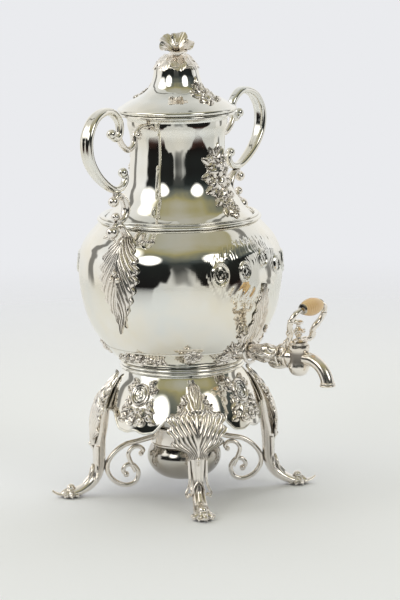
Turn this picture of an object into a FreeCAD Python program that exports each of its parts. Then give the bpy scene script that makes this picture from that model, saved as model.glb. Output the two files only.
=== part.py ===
import FreeCAD, Part
import math
import os
from collections import namedtuple
from types import SimpleNamespace

import Sketcher
from FreeCAD import Placement, Rotation, Vector

# Hot-water urn in silver plate on a four-legged burner stand.
# Origin: on the vessel's axis, on the plane the feet stand on. +Z is up, the spigot points to -Y
# and the handles stand at -X and +X. Millimetres.

SIZES = {
    "sheet_wall": 1.4, "thin_wall": 1.2, "running_gap": 0.35,
    # vessel: radius and height of each turn of its outline
    "seat_radius": 58.0, "seat_height": 133.5, "belly_foot_height": 138.2,
    "low_belly_radius": 74.0, "low_belly_height": 152.0,
    "mid_belly_radius": 88.5, "mid_belly_height": 172.0,
    "high_belly_radius": 99.3, "high_belly_height": 203.0,
    "belly_radius": 102.0, "belly_height": 231.0,
    "upper_belly_radius": 99.5, "upper_belly_height": 252.0,
    "shoulder_radius": 87.0, "shoulder_height": 272.0,
    "ring_seat_radius": 78.5, "ring_seat_height": 281.0,
    "neck_foot_radius": 74.0, "neck_foot_height": 284.0,
    "neck_flare_radius": 60.3, "neck_flare_height": 300.0,
    "neck_bend_radius": 51.7, "neck_bend_height": 316.0,
    "neck_low_radius": 48.2, "neck_low_height": 338.0,
    "neck_radius": 47.0, "neck_waist_height": 357.0,
    "neck_high_radius": 47.9, "neck_high_height": 367.0,
    "neck_top_radius": 50.0, "neck_top_height": 376.0,
    "mouth_height": 381.5, "rim_height": 388.7, "rim_radius": 57.8,
    "base_crown_height": 142.0, "band_thickness": 2.0,
    "band_low_height": 143.0, "band_high_height": 156.0,
    # stand
    "skirt_shoulder_height": 131.0, "skirt_mid_radius": 74.3, "skirt_mid_height": 105.0,
    "skirt_radius": 83.0, "skirt_height": 76.0,
    "arch_radius": 52.0, "arch_centre_height": 49.0,
    "knee_radius": 96.5, "leaf_thickness": 2.0, "leg_spread": 137.0,
    "medallion_width": 14.0, "medallion_tall": 17.0, "medallion_height": 114.0,
    # burner
    "collar_radius": 32.5, "collar_bore": 31.0, "collar_low": 51.0, "collar_top": 69.0,
    "ledge_bore": 27.0, "ledge_top": 58.0, "font_radius": 37.5, "font_bottom": 15.0,
    "arm_wire": 2.2, "wick_radius": 7.4, "cap_radius": 28.0, "cap_top": 84.0,
    # handles
    "band_half_width": 7.0, "band_half_depth": 4.0, "bracket_wire": 3.2, "curl_ball": 5.0,
    "small_ball": 4.4, "belly_leaf_width": 42.0,
    # spigot
    "barrel_distance": 142.0, "tube_height": 154.0, "tube_radius": 8.0, "barrel_radius": 10.5,
    "barrel_low": 143.0, "barrel_top": 166.0, "water_bore": 4.0, "plug_low_radius": 6.0,
    "plug_top_radius": 7.2, "spout_radius": 6.2, "mouth_radius": 8.0, "mouth_low": 128.0,
    "bow_wire": 2.3, "bow_lean": 23.6, "grip_height": 205.5, "grip_reach": 15.5,
    "grip_half_length": 14.5, "grip_radius": 8.75, "grip_end_radius": 5.4,
    # lid and finial
    "lid_seat_height": 389.0, "lid_foot_height": 393.0, "lid_radius": 57.0,
    "lid_slope_radius": 47.0, "lid_slope_height": 400.0,
    "bell_radius": 31.0, "bell_height": 409.0, "crown_radius": 26.0, "crown_height": 419.0,
    "lid_neck_radius": 18.0, "lid_neck_height": 433.0,
    "bezel_radius": 47.9, "bezel_drop": 8.5, "calyx_radius": 22.5, "flower_radius": 18.0,
    "flower_low": 446.0, "overall_height": 470.0,
}

Corner = namedtuple("Corner", "r z")
Mid = namedtuple("Mid", "r z")      # an outline passes through it on an arc

QUARTERS = (0, 90, 180, 270)
DIAGONALS = {"front_left": -45, "front_right": 45, "back_right": 135, "back_left": 225}
SIDES = {"left": -90, "right": 90}

doc = FreeCAD.newDocument("HotWaterUrn")
sheet = doc.addObject("Spreadsheet::Sheet", "Dims")
for row, (cell_name, cell_value) in enumerate(SIZES.items(), start=1):
    sheet.set(f"A{row}", cell_name)
    sheet.set(f"B{row}", str(cell_value))
    sheet.setAlias(f"B{row}", cell_name)
doc.recompute()


class Size:
    """A length or angle: its number, and the formula that reads it from the sheet."""

    def __init__(self, value, formula):
        self.value = value
        self.formula = formula

    def __add__(self, other):
        other = as_size(other)
        return Size(self.value + other.value, f"({self.formula} + {other.formula})")

    def __sub__(self, other):
        other = as_size(other)
        return Size(self.value - other.value, f"({self.formula} - {other.formula})")

    def __mul__(self, factor):
        return Size(self.value * factor, f"({self.formula} * {factor:.6f})")


def as_size(number):
    return number if isinstance(number, Size) else Size(float(number), f"{float(number):.6f}")


dim = SimpleNamespace(**{name: Size(float(sheet.get(name)), f"Dims.{name}") for name in SIZES})
nodes = []


def keep(thing, label, azimuth=0):
    """Name a finished sub-part and turn it about the vessel's axis; 0 faces the spigot."""
    thing.Label = label
    thing.Placement = Placement(Vector(), Rotation(Vector(0, 0, 1), azimuth)) * thing.Placement
    nodes.append(thing)
    return thing


# ---------------------------------------------------------------- outlines and sketches

def edges_of(outline, closed=True):
    """Split an outline into (start corner, mid or None, end corner)."""
    edges, start, mid = [], outline[0], None
    for point in list(outline[1:]) + ([outline[0]] if closed else []):
        if isinstance(point, Mid):
            mid = point
        else:
            edges.append((start, mid, point))
            start, mid = point, None
    return edges


def flat(point):
    return Vector(as_size(point.r).value, as_size(point.z).value, 0)


def end_directions(edge):
    """Unit travel directions at the two ends of an edge."""
    start, mid, end = edge
    chord = (flat(end) - flat(start)).normalize()
    if mid is None:
        return chord, chord
    centre = Part.Circle(flat(start), flat(mid), flat(end)).Center
    turn = (flat(mid) - flat(start)).cross(flat(end) - flat(mid)).z
    sense = Vector(0, 0, 1 if turn > 0 else -1)
    return [sense.cross((flat(p) - centre).normalize()) for p in (start, end)]


def offset(outline, distance):
    """An open outline moved to the left of its travel; its two ends keep their heights."""
    edges = edges_of(outline, closed=False)
    corner_moves = []
    for index in range(len(edges) + 1):
        ways = []
        if index > 0:
            ways.append(end_directions(edges[index - 1])[1])
        if index < len(edges):
            ways.append(end_directions(edges[index])[0])
        way = sum(ways[1:], ways[0]).normalize()
        move = Vector(-way.y, way.x, 0)
        if len(ways) == 1:
            corner_moves.append(Vector(1 / move.x if abs(move.x) > 0.2 else 0, 0, 0))
        else:
            corner_moves.append(move * (1 / way.dot(ways[0])))
    moved = [Corner(as_size(outline[0].r) + distance * corner_moves[0].x, outline[0].z)]
    for index, (start, mid, end) in enumerate(edges):
        if mid is not None:
            centre = Part.Circle(flat(start), flat(mid), flat(end)).Center
            turn = (flat(mid) - flat(start)).cross(flat(end) - flat(mid)).z
            inward = (centre - flat(mid)).normalize() * (1 if turn > 0 else -1)
            moved.append(Mid(as_size(mid.r) + distance * inward.x, as_size(mid.z) + distance * inward.y))
        move = corner_moves[index + 1]
        moved.append(Corner(as_size(end.r) + distance * move.x, as_size(end.z) + distance * move.y))
    return moved


def walled(outline, thickness):
    """Close an open outline into a wall of even thickness to its left."""
    return list(outline) + offset(outline, thickness)[::-1]


def draw(sketch, outline):
    """Draw a closed outline; the sheet's cells hold both coordinates of every point."""
    edges = edges_of(outline)
    rules, driven = [], []
    ends = []

    def hold(kind, geometry, position, size):
        size = as_size(size)
        if abs(size.value) < 1e-9:
            axis = -2 if kind == "DistanceX" else -1
            rules.append(Sketcher.Constraint("PointOnObject", geometry, position, axis))
            return
        driven.append((len(rules), size.formula))
        rules.append(Sketcher.Constraint(kind, -1, 1, geometry, position, size.value))

    for start, mid, end in edges:
        if mid is None:
            sketch.addGeometry(Part.LineSegment(flat(start), flat(end)), False)
            ends.append((1, 2))
        elif (flat(mid) - flat(start)).cross(flat(end) - flat(mid)).z > 0:
            sketch.addGeometry(Part.Arc(flat(start), flat(mid), flat(end)), False)
            ends.append((1, 2))
        else:
            sketch.addGeometry(Part.Arc(flat(end), flat(mid), flat(start)), False)
            ends.append((2, 1))
    for index, (start, mid, end) in enumerate(edges):
        following = (index + 1) % len(edges)
        rules.append(Sketcher.Constraint("Coincident", index, ends[index][1], following,
                                         ends[following][0]))
        hold("DistanceX", index, ends[index][0], start.r)
        hold("DistanceY", index, ends[index][0], start.z)
    for index, (start, mid, end) in enumerate(edges):
        if mid is not None:
            point = sketch.addGeometry(Part.Point(flat(mid)), True)
            rules.append(Sketcher.Constraint("PointOnObject", point, 1, index))
            hold("DistanceX", point, 1, mid.r)
            hold("DistanceY", point, 1, mid.z)
    sketch.addConstraint(rules)
    for index, formula in driven:
        sketch.setExpression(f"Constraints[{index}]", formula)


def origin_plane(body, role):
    return [feature for feature in body.Origin.OriginFeatures if feature.Role == role][0]


def sketch_in(body, name, outline, role="XZ_Plane"):
    sketch = body.newObject("Sketcher::SketchObject", name)
    sketch.AttachmentSupport = [(origin_plane(body, role), "")]
    sketch.MapMode = "FlatFace"
    draw(sketch, outline)
    return sketch


def turned(label, outline, azimuth=0):
    """A sub-part turned on a lathe: its half outline revolved about the vessel's axis."""
    body = doc.addObject("PartDesign::Body", label)
    sketch = sketch_in(body, label + "_outline", outline)
    turning = body.newObject("PartDesign::Revolution", label + "_turning")
    turning.Profile = sketch
    turning.ReferenceAxis = (sketch, ["V_Axis"])
    turning.Angle = 360
    return keep(body, label, azimuth)


def loose_sketch(name, outline):
    """A sketch in the upright plane through the vessel's axis, with no body."""
    sketch = doc.addObject("Sketcher::SketchObject", name)
    sketch.Placement = Placement(Vector(), Rotation(Vector(1, 0, 0), 90))
    draw(sketch, outline)
    return sketch


def revolved(name, outline):
    """A full ring or solid of revolution used to cut or shape other pieces."""
    shape = doc.addObject("Part::Revolution", name)
    shape.Source = loose_sketch(name + "_outline", outline)
    shape.Axis = (0, 0, 1)
    shape.Angle = 360
    shape.Solid = True
    return shape


def cut(name, base, tool):
    result = doc.addObject("Part::Cut", name)
    result.Base = base
    result.Tool = tool
    return result


def fused(name, shapes):
    result = doc.addObject("Part::MultiFuse", name)
    result.Shapes = shapes
    return result


def cylinder(name, radius, low, high, at=Vector(), along=Vector(0, 0, 1)):
    """A round bar along a direction, from one distance to another, sized by the sheet."""
    bar = doc.addObject("Part::Cylinder", name)
    bar.setExpression("Radius", as_size(radius).formula)
    span = as_size(high) - low
    bar.setExpression("Height", span.formula)
    bar.Placement = Placement(at + along * as_size(low).value, Rotation(Vector(0, 0, 1), along))
    return bar


def ball(name, radius, at):
    sphere = doc.addObject("Part::Sphere", name)
    sphere.setExpression("Radius", as_size(radius).formula)
    sphere.Placement = Placement(at, Rotation())
    return sphere


def mirrored(half):
    """A leaf outline from its right half, listed from the tip down to the foot."""
    left = [type(point)(as_size(point.r) * -1, point.z) for point in half if as_size(point.r).value > 0]
    return list(half) + left[::-1]


def draped(name, wall_outline, half_leaf):
    """A plate that lies on a turned surface: the surface's skin within a leaf's outline, facing -Y."""
    skin = revolved(name + "_skin", wall_outline)
    prism = doc.addObject("Part::Extrusion", name + "_prism")
    prism.Base = loose_sketch(name + "_shape", mirrored(half_leaf))
    prism.DirMode = "Custom"
    prism.Dir = Vector(0, -1, 0)
    prism.LengthFwd = 200
    prism.Solid = True
    plate = doc.addObject("Part::Common", name + "_plate")
    plate.Base = skin
    plate.Tool = prism
    return plate


# ---------------------------------------------------------------- bent wire and castings

def circle_heading(before, here, after):
    """The direction in which the circle through three points passes the middle one."""
    ahead = (after - here).normalize()
    behind = (here - before).normalize()
    near, far = (here - before).Length, (after - here).Length
    return (behind * far + ahead * near).normalize()


def arc_from(start, heading, end):
    """The arc that leaves a point along a heading and reaches another; with its closing heading."""
    chord = end - start
    half_turn = heading.getAngle(chord)
    if half_turn < 1e-3:
        return Part.LineSegment(start, end).toShape(), chord.normalize()
    plane = heading.cross(chord).normalize()
    side = plane.cross(heading).normalize()
    centre = start + side * (chord.dot(chord) / (2 * chord.dot(side)))
    to_middle = Rotation(plane, math.degrees(half_turn)).multVec(start - centre)
    closing = Rotation(plane, math.degrees(2 * half_turn)).multVec(heading)
    return Part.Arc(start, centre + to_middle, end).toShape(), closing


def smooth_path(points, heading):
    """A smooth wire through the points, two arcs to each span."""
    headings = [heading]
    for before, here, after in zip(points, points[1:], points[2:]):
        headings.append(circle_heading(before, here, after))
    last_chord = (points[-1] - points[-2]).normalize()
    headings.append((last_chord * (2 * last_chord.dot(headings[-1])) - headings[-1]).normalize())
    edges = []
    for start, end, leaving, arriving in zip(points, points[1:], headings, headings[1:]):
        span = end - start
        both = leaving + arriving
        bend = 2 * (1 - leaving.dot(arriving))
        along = span.dot(both)
        if bend < 1e-6:
            reach = span.dot(span) / (2 * along)
        else:
            reach = (math.sqrt(along * along + bend * span.dot(span)) - along) / bend
        joint = (start + end + (leaving - arriving) * reach) * 0.5
        first, turned_to = arc_from(start, leaving, joint)
        second, turned_to = arc_from(joint, turned_to, end)
        edges += [first, second]
    return Part.Wire(edges)


def upright(points):
    """Radius and height pairs as points in the plane that faces the spigot."""
    return [Vector(0, -r, z) for r, z in points]


def bent_wire(name, points, heading, radius):
    """Round wire bent along a smooth path of arcs."""
    path = doc.addObject("Part::Feature", name + "_path")
    path.Shape = smooth_path(points, heading)
    section = doc.addObject("Part::Circle", name + "_section")
    section.setExpression("Radius", as_size(radius).formula)
    section.Placement = Placement(points[0], Rotation(Vector(0, 0, 1), heading))
    sweep = doc.addObject("Part::Sweep", name + "_sweep")
    sweep.Sections = [section]
    sweep.Spine = (path, [f"Edge{index + 1}" for index in range(len(path.Shape.Edges))])
    sweep.Solid = True
    sweep.Frenet = False
    return sweep


Station = namedtuple("Station", "r z across deep")


def ellipse_ring(centre, along, across, deep):
    """An elliptical section square to its limb, its half widths across the limb's plane and in it."""
    outward = Vector(1, 0, 0).cross(along).normalize()
    wide, narrow = centre + Vector(across, 0, 0), centre + outward * deep
    if across < deep:
        wide, narrow = narrow, wide
    return Part.Wire([Part.Ellipse(wide, narrow, centre).toShape()])


def casting(stations):
    """A cast limb through elliptical stations in the plane that faces the spigot."""
    rings = []
    for index, station in enumerate(stations):
        before = stations[max(index - 1, 0)]
        after = stations[min(index + 1, len(stations) - 1)]
        along = Vector(0, before.r - after.r, after.z - before.z).normalize()
        rings.append(ellipse_ring(Vector(0, -station.r, station.z), along, station.across, station.deep))
    return Part.makeLoft(rings, True, False)


def band(points, heading, end_half, across_half, deep_half, count):
    """A cast band along a smooth path: round at both ends, swelling to a flat oval between them."""
    path = smooth_path(points, heading)
    rings = []
    for index in range(count):
        share = index / (count - 1)
        swell = math.sin(math.pi * share) ** 1.3
        distance = path.Length * share
        for edge in path.OrderedEdges:
            if distance <= edge.Length + 1e-6:
                break
            distance -= edge.Length
        forward = edge.firstVertex(True).Point.isEqual(edge.valueAt(edge.FirstParameter), 1e-6)
        place = edge.getParameterByLength(min(distance, edge.Length))
        along = edge.tangentAt(place) * (1 if forward else -1)
        rings.append(ellipse_ring(edge.valueAt(place), along, end_half + (across_half - end_half) * swell,
                                  end_half + (deep_half - end_half) * swell))
    return Part.makeLoft(rings, True, False)


def sculpted(label, shape, azimuth=0):
    """A cast or chased sub-part whose shape Part's functions make."""
    feature = doc.addObject("Part::Feature", label)
    feature.Shape = shape
    return keep(feature, label, azimuth)


# ---------------------------------------------------------------- vessel

belly_outer = [
    Corner(dim.seat_radius, dim.seat_height), Corner(dim.seat_radius, dim.belly_foot_height),
    Mid(dim.low_belly_radius, dim.low_belly_height), Corner(dim.mid_belly_radius, dim.mid_belly_height),
    Mid(dim.high_belly_radius, dim.high_belly_height), Corner(dim.belly_radius, dim.belly_height),
    Mid(dim.upper_belly_radius, dim.upper_belly_height), Corner(dim.shoulder_radius, dim.shoulder_height),
    Corner(dim.ring_seat_radius, dim.ring_seat_height), Corner(dim.neck_foot_radius, dim.neck_foot_height),
]
neck_outer = [
    Corner(dim.neck_foot_radius, dim.neck_foot_height), Mid(dim.neck_flare_radius, dim.neck_flare_height),
    Corner(dim.neck_bend_radius, dim.neck_bend_height), Mid(dim.neck_low_radius, dim.neck_low_height),
    Corner(dim.neck_radius, dim.neck_waist_height), Mid(dim.neck_high_radius, dim.neck_high_height),
    Corner(dim.neck_top_radius, dim.neck_top_height), Corner(dim.neck_top_radius, dim.mouth_height),
]
solid_belly = [Corner(0, dim.seat_height)] + belly_outer + [Corner(0, dim.neck_foot_height)]
belly_skin = walled(offset(belly_outer[1:8], dim.thin_wall * -0.05), dim.leaf_thickness * -1)

belly_shell = revolved("belly_shell", walled(belly_outer, dim.sheet_wall))
belly_port = cylinder("belly_port", dim.water_bore + 0.6, 55, 100,
                      Vector(0, 0, dim.tube_height.value), Vector(0, -1, 0))
keep(cut("belly", belly_shell, belly_port), "belly")

base_rim = dim.seat_radius - dim.sheet_wall
base_crown = dim.seat_radius * 0.2
base_flange = dim.seat_height + 4
turned("vessel_base", [
    Corner(0, dim.base_crown_height), Corner(base_crown, dim.base_crown_height),
    Mid(base_rim * 0.6, dim.base_crown_height - 1.4), Corner(base_rim - 2.5, base_flange),
    Corner(base_rim, base_flange), Corner(base_rim, dim.seat_height),
    Corner(base_rim - dim.thin_wall, dim.seat_height), Corner(base_rim - dim.thin_wall, base_flange - 1.6),
    Corner(base_rim - 2.5, base_flange - 1.6), Mid(base_rim * 0.6, dim.base_crown_height - 3),
    Corner(base_crown, dim.base_crown_height - 1.6), Corner(0, dim.base_crown_height - 1.6),
])

foot_wire = dim.seat_radius + 3.4
turned("foot_ring", [
    Corner(dim.seat_radius, dim.skirt_shoulder_height),
    Corner(foot_wire - 0.8, dim.skirt_shoulder_height),
    Mid(foot_wire + 0.8, dim.skirt_shoulder_height + 2),
    Corner(foot_wire - 1.2, dim.skirt_shoulder_height + 4),
    Mid(foot_wire - 0.2, dim.skirt_shoulder_height + 5.6),
    Corner(foot_wire - 1.6, dim.belly_foot_height - 0.1),
    Corner(dim.seat_radius, dim.belly_foot_height - 0.1),
])

band_bottom = Corner(dim.low_belly_radius - 9.6, dim.band_low_height)
band_top = Corner(dim.low_belly_radius + 4.0, dim.band_high_height)
band_middle = Mid(dim.low_belly_radius - 2.4, dim.low_belly_height - 2.3)
band_line = offset([band_bottom, band_middle, band_top], dim.thin_wall * -0.6)
band_ring = revolved("band_ring", walled(band_line, dim.band_thickness * -1))
band_gap = cylinder("band_gap", dim.tube_radius + 4.8, 50, 110, Vector(0, 0, dim.tube_height.value),
                    Vector(0, -1, 0))
keep(cut("floral_band", band_ring, band_gap), "floral_band")

ring_line = dim.ring_seat_radius + 1.0
turned("shoulder_ring", [
    Corner(dim.neck_foot_radius + 0.1, dim.neck_foot_height + 0.05),
    Corner(dim.ring_seat_radius + 0.1, dim.ring_seat_height + 0.05),
    Corner(ring_line + 1.0, dim.ring_seat_height - 0.6),
    Mid(ring_line + 2.6, dim.ring_seat_height + 1.4), Corner(ring_line + 0.6, dim.ring_seat_height + 3.2),
    Corner(ring_line - 1.8, dim.ring_seat_height + 3.4),
    Mid(ring_line - 1.4, dim.ring_seat_height + 4.8), Corner(ring_line - 2.8, dim.ring_seat_height + 5.8),
    Corner(dim.neck_foot_radius + 0.1, dim.ring_seat_height + 5.8),
])

turned("neck", walled(neck_outer, dim.sheet_wall))
mouth_bore = dim.neck_top_radius - dim.sheet_wall
turned("neck_rim", [
    Corner(mouth_bore, dim.mouth_height), Corner(dim.neck_top_radius + 0.6, dim.mouth_height),
    Mid(dim.neck_top_radius + 3.2, dim.mouth_height + 2.9),
    Corner(dim.rim_radius - 1.8, dim.mouth_height + 3.7),
    Mid(dim.rim_radius, dim.rim_height - 1.8), Corner(dim.rim_radius - 1.2, dim.rim_height),
    Corner(mouth_bore, dim.rim_height),
])

neck_skin = walled(offset(neck_outer[:6], dim.thin_wall * -0.05), dim.leaf_thickness * -1)
neck_spray_half = [
    Corner(0, dim.neck_waist_height), Corner(6, dim.neck_waist_height - 4),
    Corner(13, dim.neck_low_height + 6), Corner(17, dim.neck_low_height - 8),
    Corner(15, dim.neck_bend_height), Corner(18, dim.neck_flare_height + 6),
    Corner(10, dim.neck_flare_height - 4),
    Corner(0, dim.neck_flare_height - 8),
]


def front_and_back(name, skin, half):
    """The same applied plate on the front and on the back, as one sub-part of two solids."""
    plates = [draped(f"{name}_{place}", skin, half) for place in ("front", "back")]
    plates[1].Placement = Placement(Vector(), Rotation(Vector(0, 0, 1), 180))
    keep(fused(name + "_pair", plates), name)


front_and_back("neck_sprays", neck_skin, neck_spray_half)

# ---------------------------------------------------------------- stand

skirt_outer = [
    Corner(dim.skirt_radius, dim.skirt_height), Mid(dim.skirt_mid_radius, dim.skirt_mid_height),
    Corner(dim.seat_radius, dim.skirt_shoulder_height), Corner(dim.seat_radius, dim.seat_height),
]
skirt_body = doc.addObject("PartDesign::Body", "skirt")
skirt_outline = sketch_in(skirt_body, "skirt_outline", walled(skirt_outer, dim.sheet_wall))
skirt_turning = skirt_body.newObject("PartDesign::Revolution", "skirt_turning")
skirt_turning.Profile = skirt_outline
skirt_turning.ReferenceAxis = (skirt_outline, ["V_Axis"])
skirt_turning.Angle = 360
doc.recompute()
for role in ("XZ_Plane", "YZ_Plane"):
    arch = skirt_body.newObject("Sketcher::SketchObject", "arch_" + role[:2])
    arch.AttachmentSupport = [(origin_plane(skirt_body, role), "")]
    arch.MapMode = "FlatFace"
    arch.addGeometry(Part.Circle(Vector(0, dim.arch_centre_height.value, 0), Vector(0, 0, 1),
                                 dim.arch_radius.value), False)
    arch.addConstraint([Sketcher.Constraint("PointOnObject", 0, 3, -2),
                        Sketcher.Constraint("DistanceY", -1, 1, 0, 3, dim.arch_centre_height.value),
                        Sketcher.Constraint("Radius", 0, dim.arch_radius.value)])
    arch.setExpression("Constraints[1]", dim.arch_centre_height.formula)
    arch.setExpression("Constraints[2]", dim.arch_radius.formula)
    opening = skirt_body.newObject("PartDesign::Pocket", "arch_cut_" + role[:2])
    opening.Profile = arch
    opening.Type = 1
    opening.Midplane = True
doc.recompute()
keep(skirt_body, "skirt", 45)

skirt_plug = revolved("skirt_plug", [
    Corner(0, dim.skirt_height), Corner(dim.skirt_radius + 0.1, dim.skirt_height),
    Mid(dim.skirt_mid_radius + 0.1, dim.skirt_mid_height),
    Corner(dim.seat_radius + 0.1, dim.skirt_shoulder_height),
    Corner(foot_wire + 1.2, dim.skirt_shoulder_height),
    Corner(foot_wire + 1.2, dim.belly_foot_height), Corner(0, dim.belly_foot_height),
])

knee_line = [
    Corner(dim.knee_radius - 3.4, 46), Mid(dim.knee_radius, 70), Corner(dim.knee_radius - 4.5, 94),
    Mid(dim.knee_radius - 14, 108), Corner(dim.knee_radius - 30, 124),
]
knee_half = [
    Corner(0, 124), Corner(9, 119), Corner(17, 108), Corner(25, 99), Corner(30, 84), Corner(27, 68),
    Corner(18, 56), Corner(8, 47), Corner(0, 47),
]
leg_stations = [
    Station(67, 122, 7, 3), Station(76, 108, 9, 5), Station(82, 93, 10, 7.5), Station(84.5, 76, 9.5, 8.5),
    Station(86, 60, 8.5, 7.6), Station(87, 46, 7, 6), Station(86.5, 34, 6, 5.8), Station(88, 24, 6, 5.8),
    Station(93, 15, 7, 6), Station(102, 8.6, 10, 6), Station(113, 6.0, 12, 6.6), Station(124, 4.0, 8, 5),
    Station(dim.leg_spread.value - 1, 3.2, 4, 3.6),
]
# the burner arm's main scroll and the small scroll that branches from it
arm_points = upright([(32.2, 58), (47, 54.5), (60.5, 51.5), (71.5, 44), (78.6, 33.5), (78.8, 24),
                      (72, 14.2), (60.5, 9.4), (51, 12.6), (47.6, 22), (53, 30), (60, 30), (63.2, 24.5),
                      (60, 20.5)])
branch_points = upright([(50.2, 23), (56, 35), (57.4, 42), (52.5, 48), (45.5, 48.5), (42, 44.5),
                         (44.5, 41.5)])
branch_wire = dim.arm_wire * 0.8
floor_side, floor_depth = 400, 40
floor_block = Part.makeBox(floor_side, floor_side, floor_depth,
                           Vector(-floor_side / 2, -floor_side, -floor_depth))
doc.recompute()
leg_shape = casting(leg_stations).cut([floor_block, skirt_plug.Shape])
leg_shape = max(leg_shape.Solids, key=lambda solid: solid.Volume)
knee_plate = draped("knee_leaf", walled(knee_line, dim.leaf_thickness), knee_half)
doc.recompute()
knee_shape = knee_plate.Shape.cut([leg_shape, skirt_plug.Shape])
knee_shape = max(knee_shape.Solids, key=lambda solid: solid.Volume)

for place, azimuth in DIAGONALS.items():
    sculpted(f"leg_{place}", leg_shape, azimuth)
    sculpted(f"knee_leaf_{place}", knee_shape, azimuth)
    main = bent_wire(f"arm_{place}", arm_points, Vector(0, -1, -0.05).normalize(), dim.arm_wire)
    branch = bent_wire(f"branch_{place}", branch_points, Vector(0, -0.6, 0.8).normalize(), branch_wire)
    tip = ball(f"arm_tip_{place}", dim.arm_wire * 1.5, arm_points[-1])
    bud = ball(f"branch_tip_{place}", dim.arm_wire * 1.3, branch_points[-1])
    keep(fused(f"burner_arm_{place}", [main, branch, tip, bud]), f"burner_arm_{place}", azimuth)

skirt_skin = walled(offset(skirt_outer[:3], dim.thin_wall * -0.05), dim.leaf_thickness * -1)
cartouche_half = [
    Corner(0, dim.skirt_shoulder_height - 4), Corner(8, dim.skirt_shoulder_height - 7),
    Corner(13, dim.medallion_height), Corner(12, dim.skirt_mid_height - 3),
    Corner(18, dim.skirt_mid_height - 10), Corner(21, dim.skirt_mid_height - 18),
    Corner(17, dim.skirt_height + 4), Corner(8, dim.skirt_height + 0.4),
    Corner(0, dim.skirt_height + 0.4),
]
cartouche = draped("skirt_cartouche", skirt_skin, cartouche_half)
medallion_window = doc.addObject("Part::Ellipse", "medallion_window")
medallion_window.setExpression("MajorRadius", (dim.medallion_tall * 0.5).formula)
medallion_window.setExpression("MinorRadius", (dim.medallion_width * 0.5).formula)
medallion_window.Placement = Placement(Vector(0, 0, dim.medallion_height.value),
                                       Rotation(Vector(0, 0, 1), Vector(-1, 0, 0), Vector(0, -1, 0), "ZXY"))
window_prism = doc.addObject("Part::Extrusion", "window_prism")
window_prism.Base = medallion_window
window_prism.DirMode = "Custom"
window_prism.Dir = Vector(0, -1, 0)
window_prism.LengthFwd = 200
window_prism.Solid = True
boss_skin = revolved("boss_skin", walled(offset(skirt_outer[:3], dim.thin_wall * -0.05),
                                         dim.leaf_thickness * -1.3))
doc.recompute()
cartouche_plate = cartouche.Shape.cut(window_prism.Shape)
boss_plate = boss_skin.Shape.common(window_prism.Shape.copy())
boss_plate = max(boss_plate.Solids, key=lambda solid: solid.Volume)


def four_round(shape):
    """The same solid at each quarter turn of the vessel's axis."""
    return Part.makeCompound([shape.rotated(Vector(), Vector(0, 0, 1), angle) for angle in QUARTERS])


sculpted("skirt_cartouches", four_round(cartouche_plate))
sculpted("skirt_medallions", four_round(boss_plate))

# ---------------------------------------------------------------- burner

turned("burner_collar", [
    Corner(dim.collar_bore, dim.collar_low + 5), Corner(dim.collar_bore, dim.collar_low),
    Corner(dim.collar_radius, dim.collar_low), Corner(dim.collar_radius, dim.collar_top - 1.4),
    Mid(dim.collar_radius + 1.0, dim.collar_top - 0.6), Corner(dim.collar_radius, dim.collar_top),
    Corner(dim.collar_bore, dim.collar_top), Corner(dim.collar_bore, dim.ledge_top),
    Corner(dim.ledge_bore, dim.ledge_top), Corner(dim.ledge_bore, dim.ledge_top - 2),
])
turned("burner_font", [
    Corner(0, dim.font_bottom), Corner(dim.font_radius * 0.35, dim.font_bottom),
    Mid(dim.font_radius * 0.85, dim.font_bottom + 8.2), Corner(dim.font_radius, dim.font_bottom + 22),
    Mid(dim.font_radius - 1.2, dim.collar_low - 5.5), Corner(dim.collar_radius, dim.collar_low),
    Corner(dim.collar_bore, dim.collar_low),
    Mid(dim.font_radius - 2.6, dim.collar_low - 6),
    Corner(dim.font_radius - dim.thin_wall, dim.font_bottom + 22),
    Mid(dim.font_radius * 0.83, dim.font_bottom + 9.4),
    Corner(dim.font_radius * 0.35, dim.font_bottom + dim.thin_wall.value),
    Corner(0, dim.font_bottom + dim.thin_wall.value),
])
turned("wick_holder", [
    Corner(dim.wick_radius + 0.1, dim.ledge_top - 12), Corner(dim.wick_radius + 1.3, dim.ledge_top - 12),
    Corner(dim.wick_radius + 1.3, dim.ledge_top + 0.3), Corner(dim.collar_bore - 0.5, dim.ledge_top + 0.3),
    Corner(dim.collar_bore - 0.5, dim.ledge_top + 1.5), Corner(dim.wick_radius + 1.3, dim.ledge_top + 1.5),
    Corner(dim.wick_radius + 1.3, dim.collar_top + 5), Corner(dim.wick_radius + 0.1, dim.collar_top + 5),
])
turned("wick", [
    Corner(0, dim.font_bottom + 4), Corner(dim.wick_radius, dim.font_bottom + 4),
    Corner(dim.wick_radius, dim.collar_top + 7), Corner(0, dim.collar_top + 7),
])
cap_foot = dim.ledge_top + 1.9
turned("snuffer_cap", walled([
    Corner(dim.cap_radius, cap_foot), Corner(dim.cap_radius, dim.cap_top - 4),
    Mid(dim.cap_radius - 4, dim.cap_top - 1.2), Corner(4, dim.cap_top),
], dim.thin_wall))
turned("snuffer_knob", [
    Corner(0, dim.cap_top - 2.4), Corner(3.2, dim.cap_top - 2.4), Corner(3.2, dim.cap_top + 2),
    Mid(5, dim.cap_top + 5), Corner(3, dim.cap_top + 8), Corner(0, dim.cap_top + 8),
])

# ---------------------------------------------------------------- handles

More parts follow.
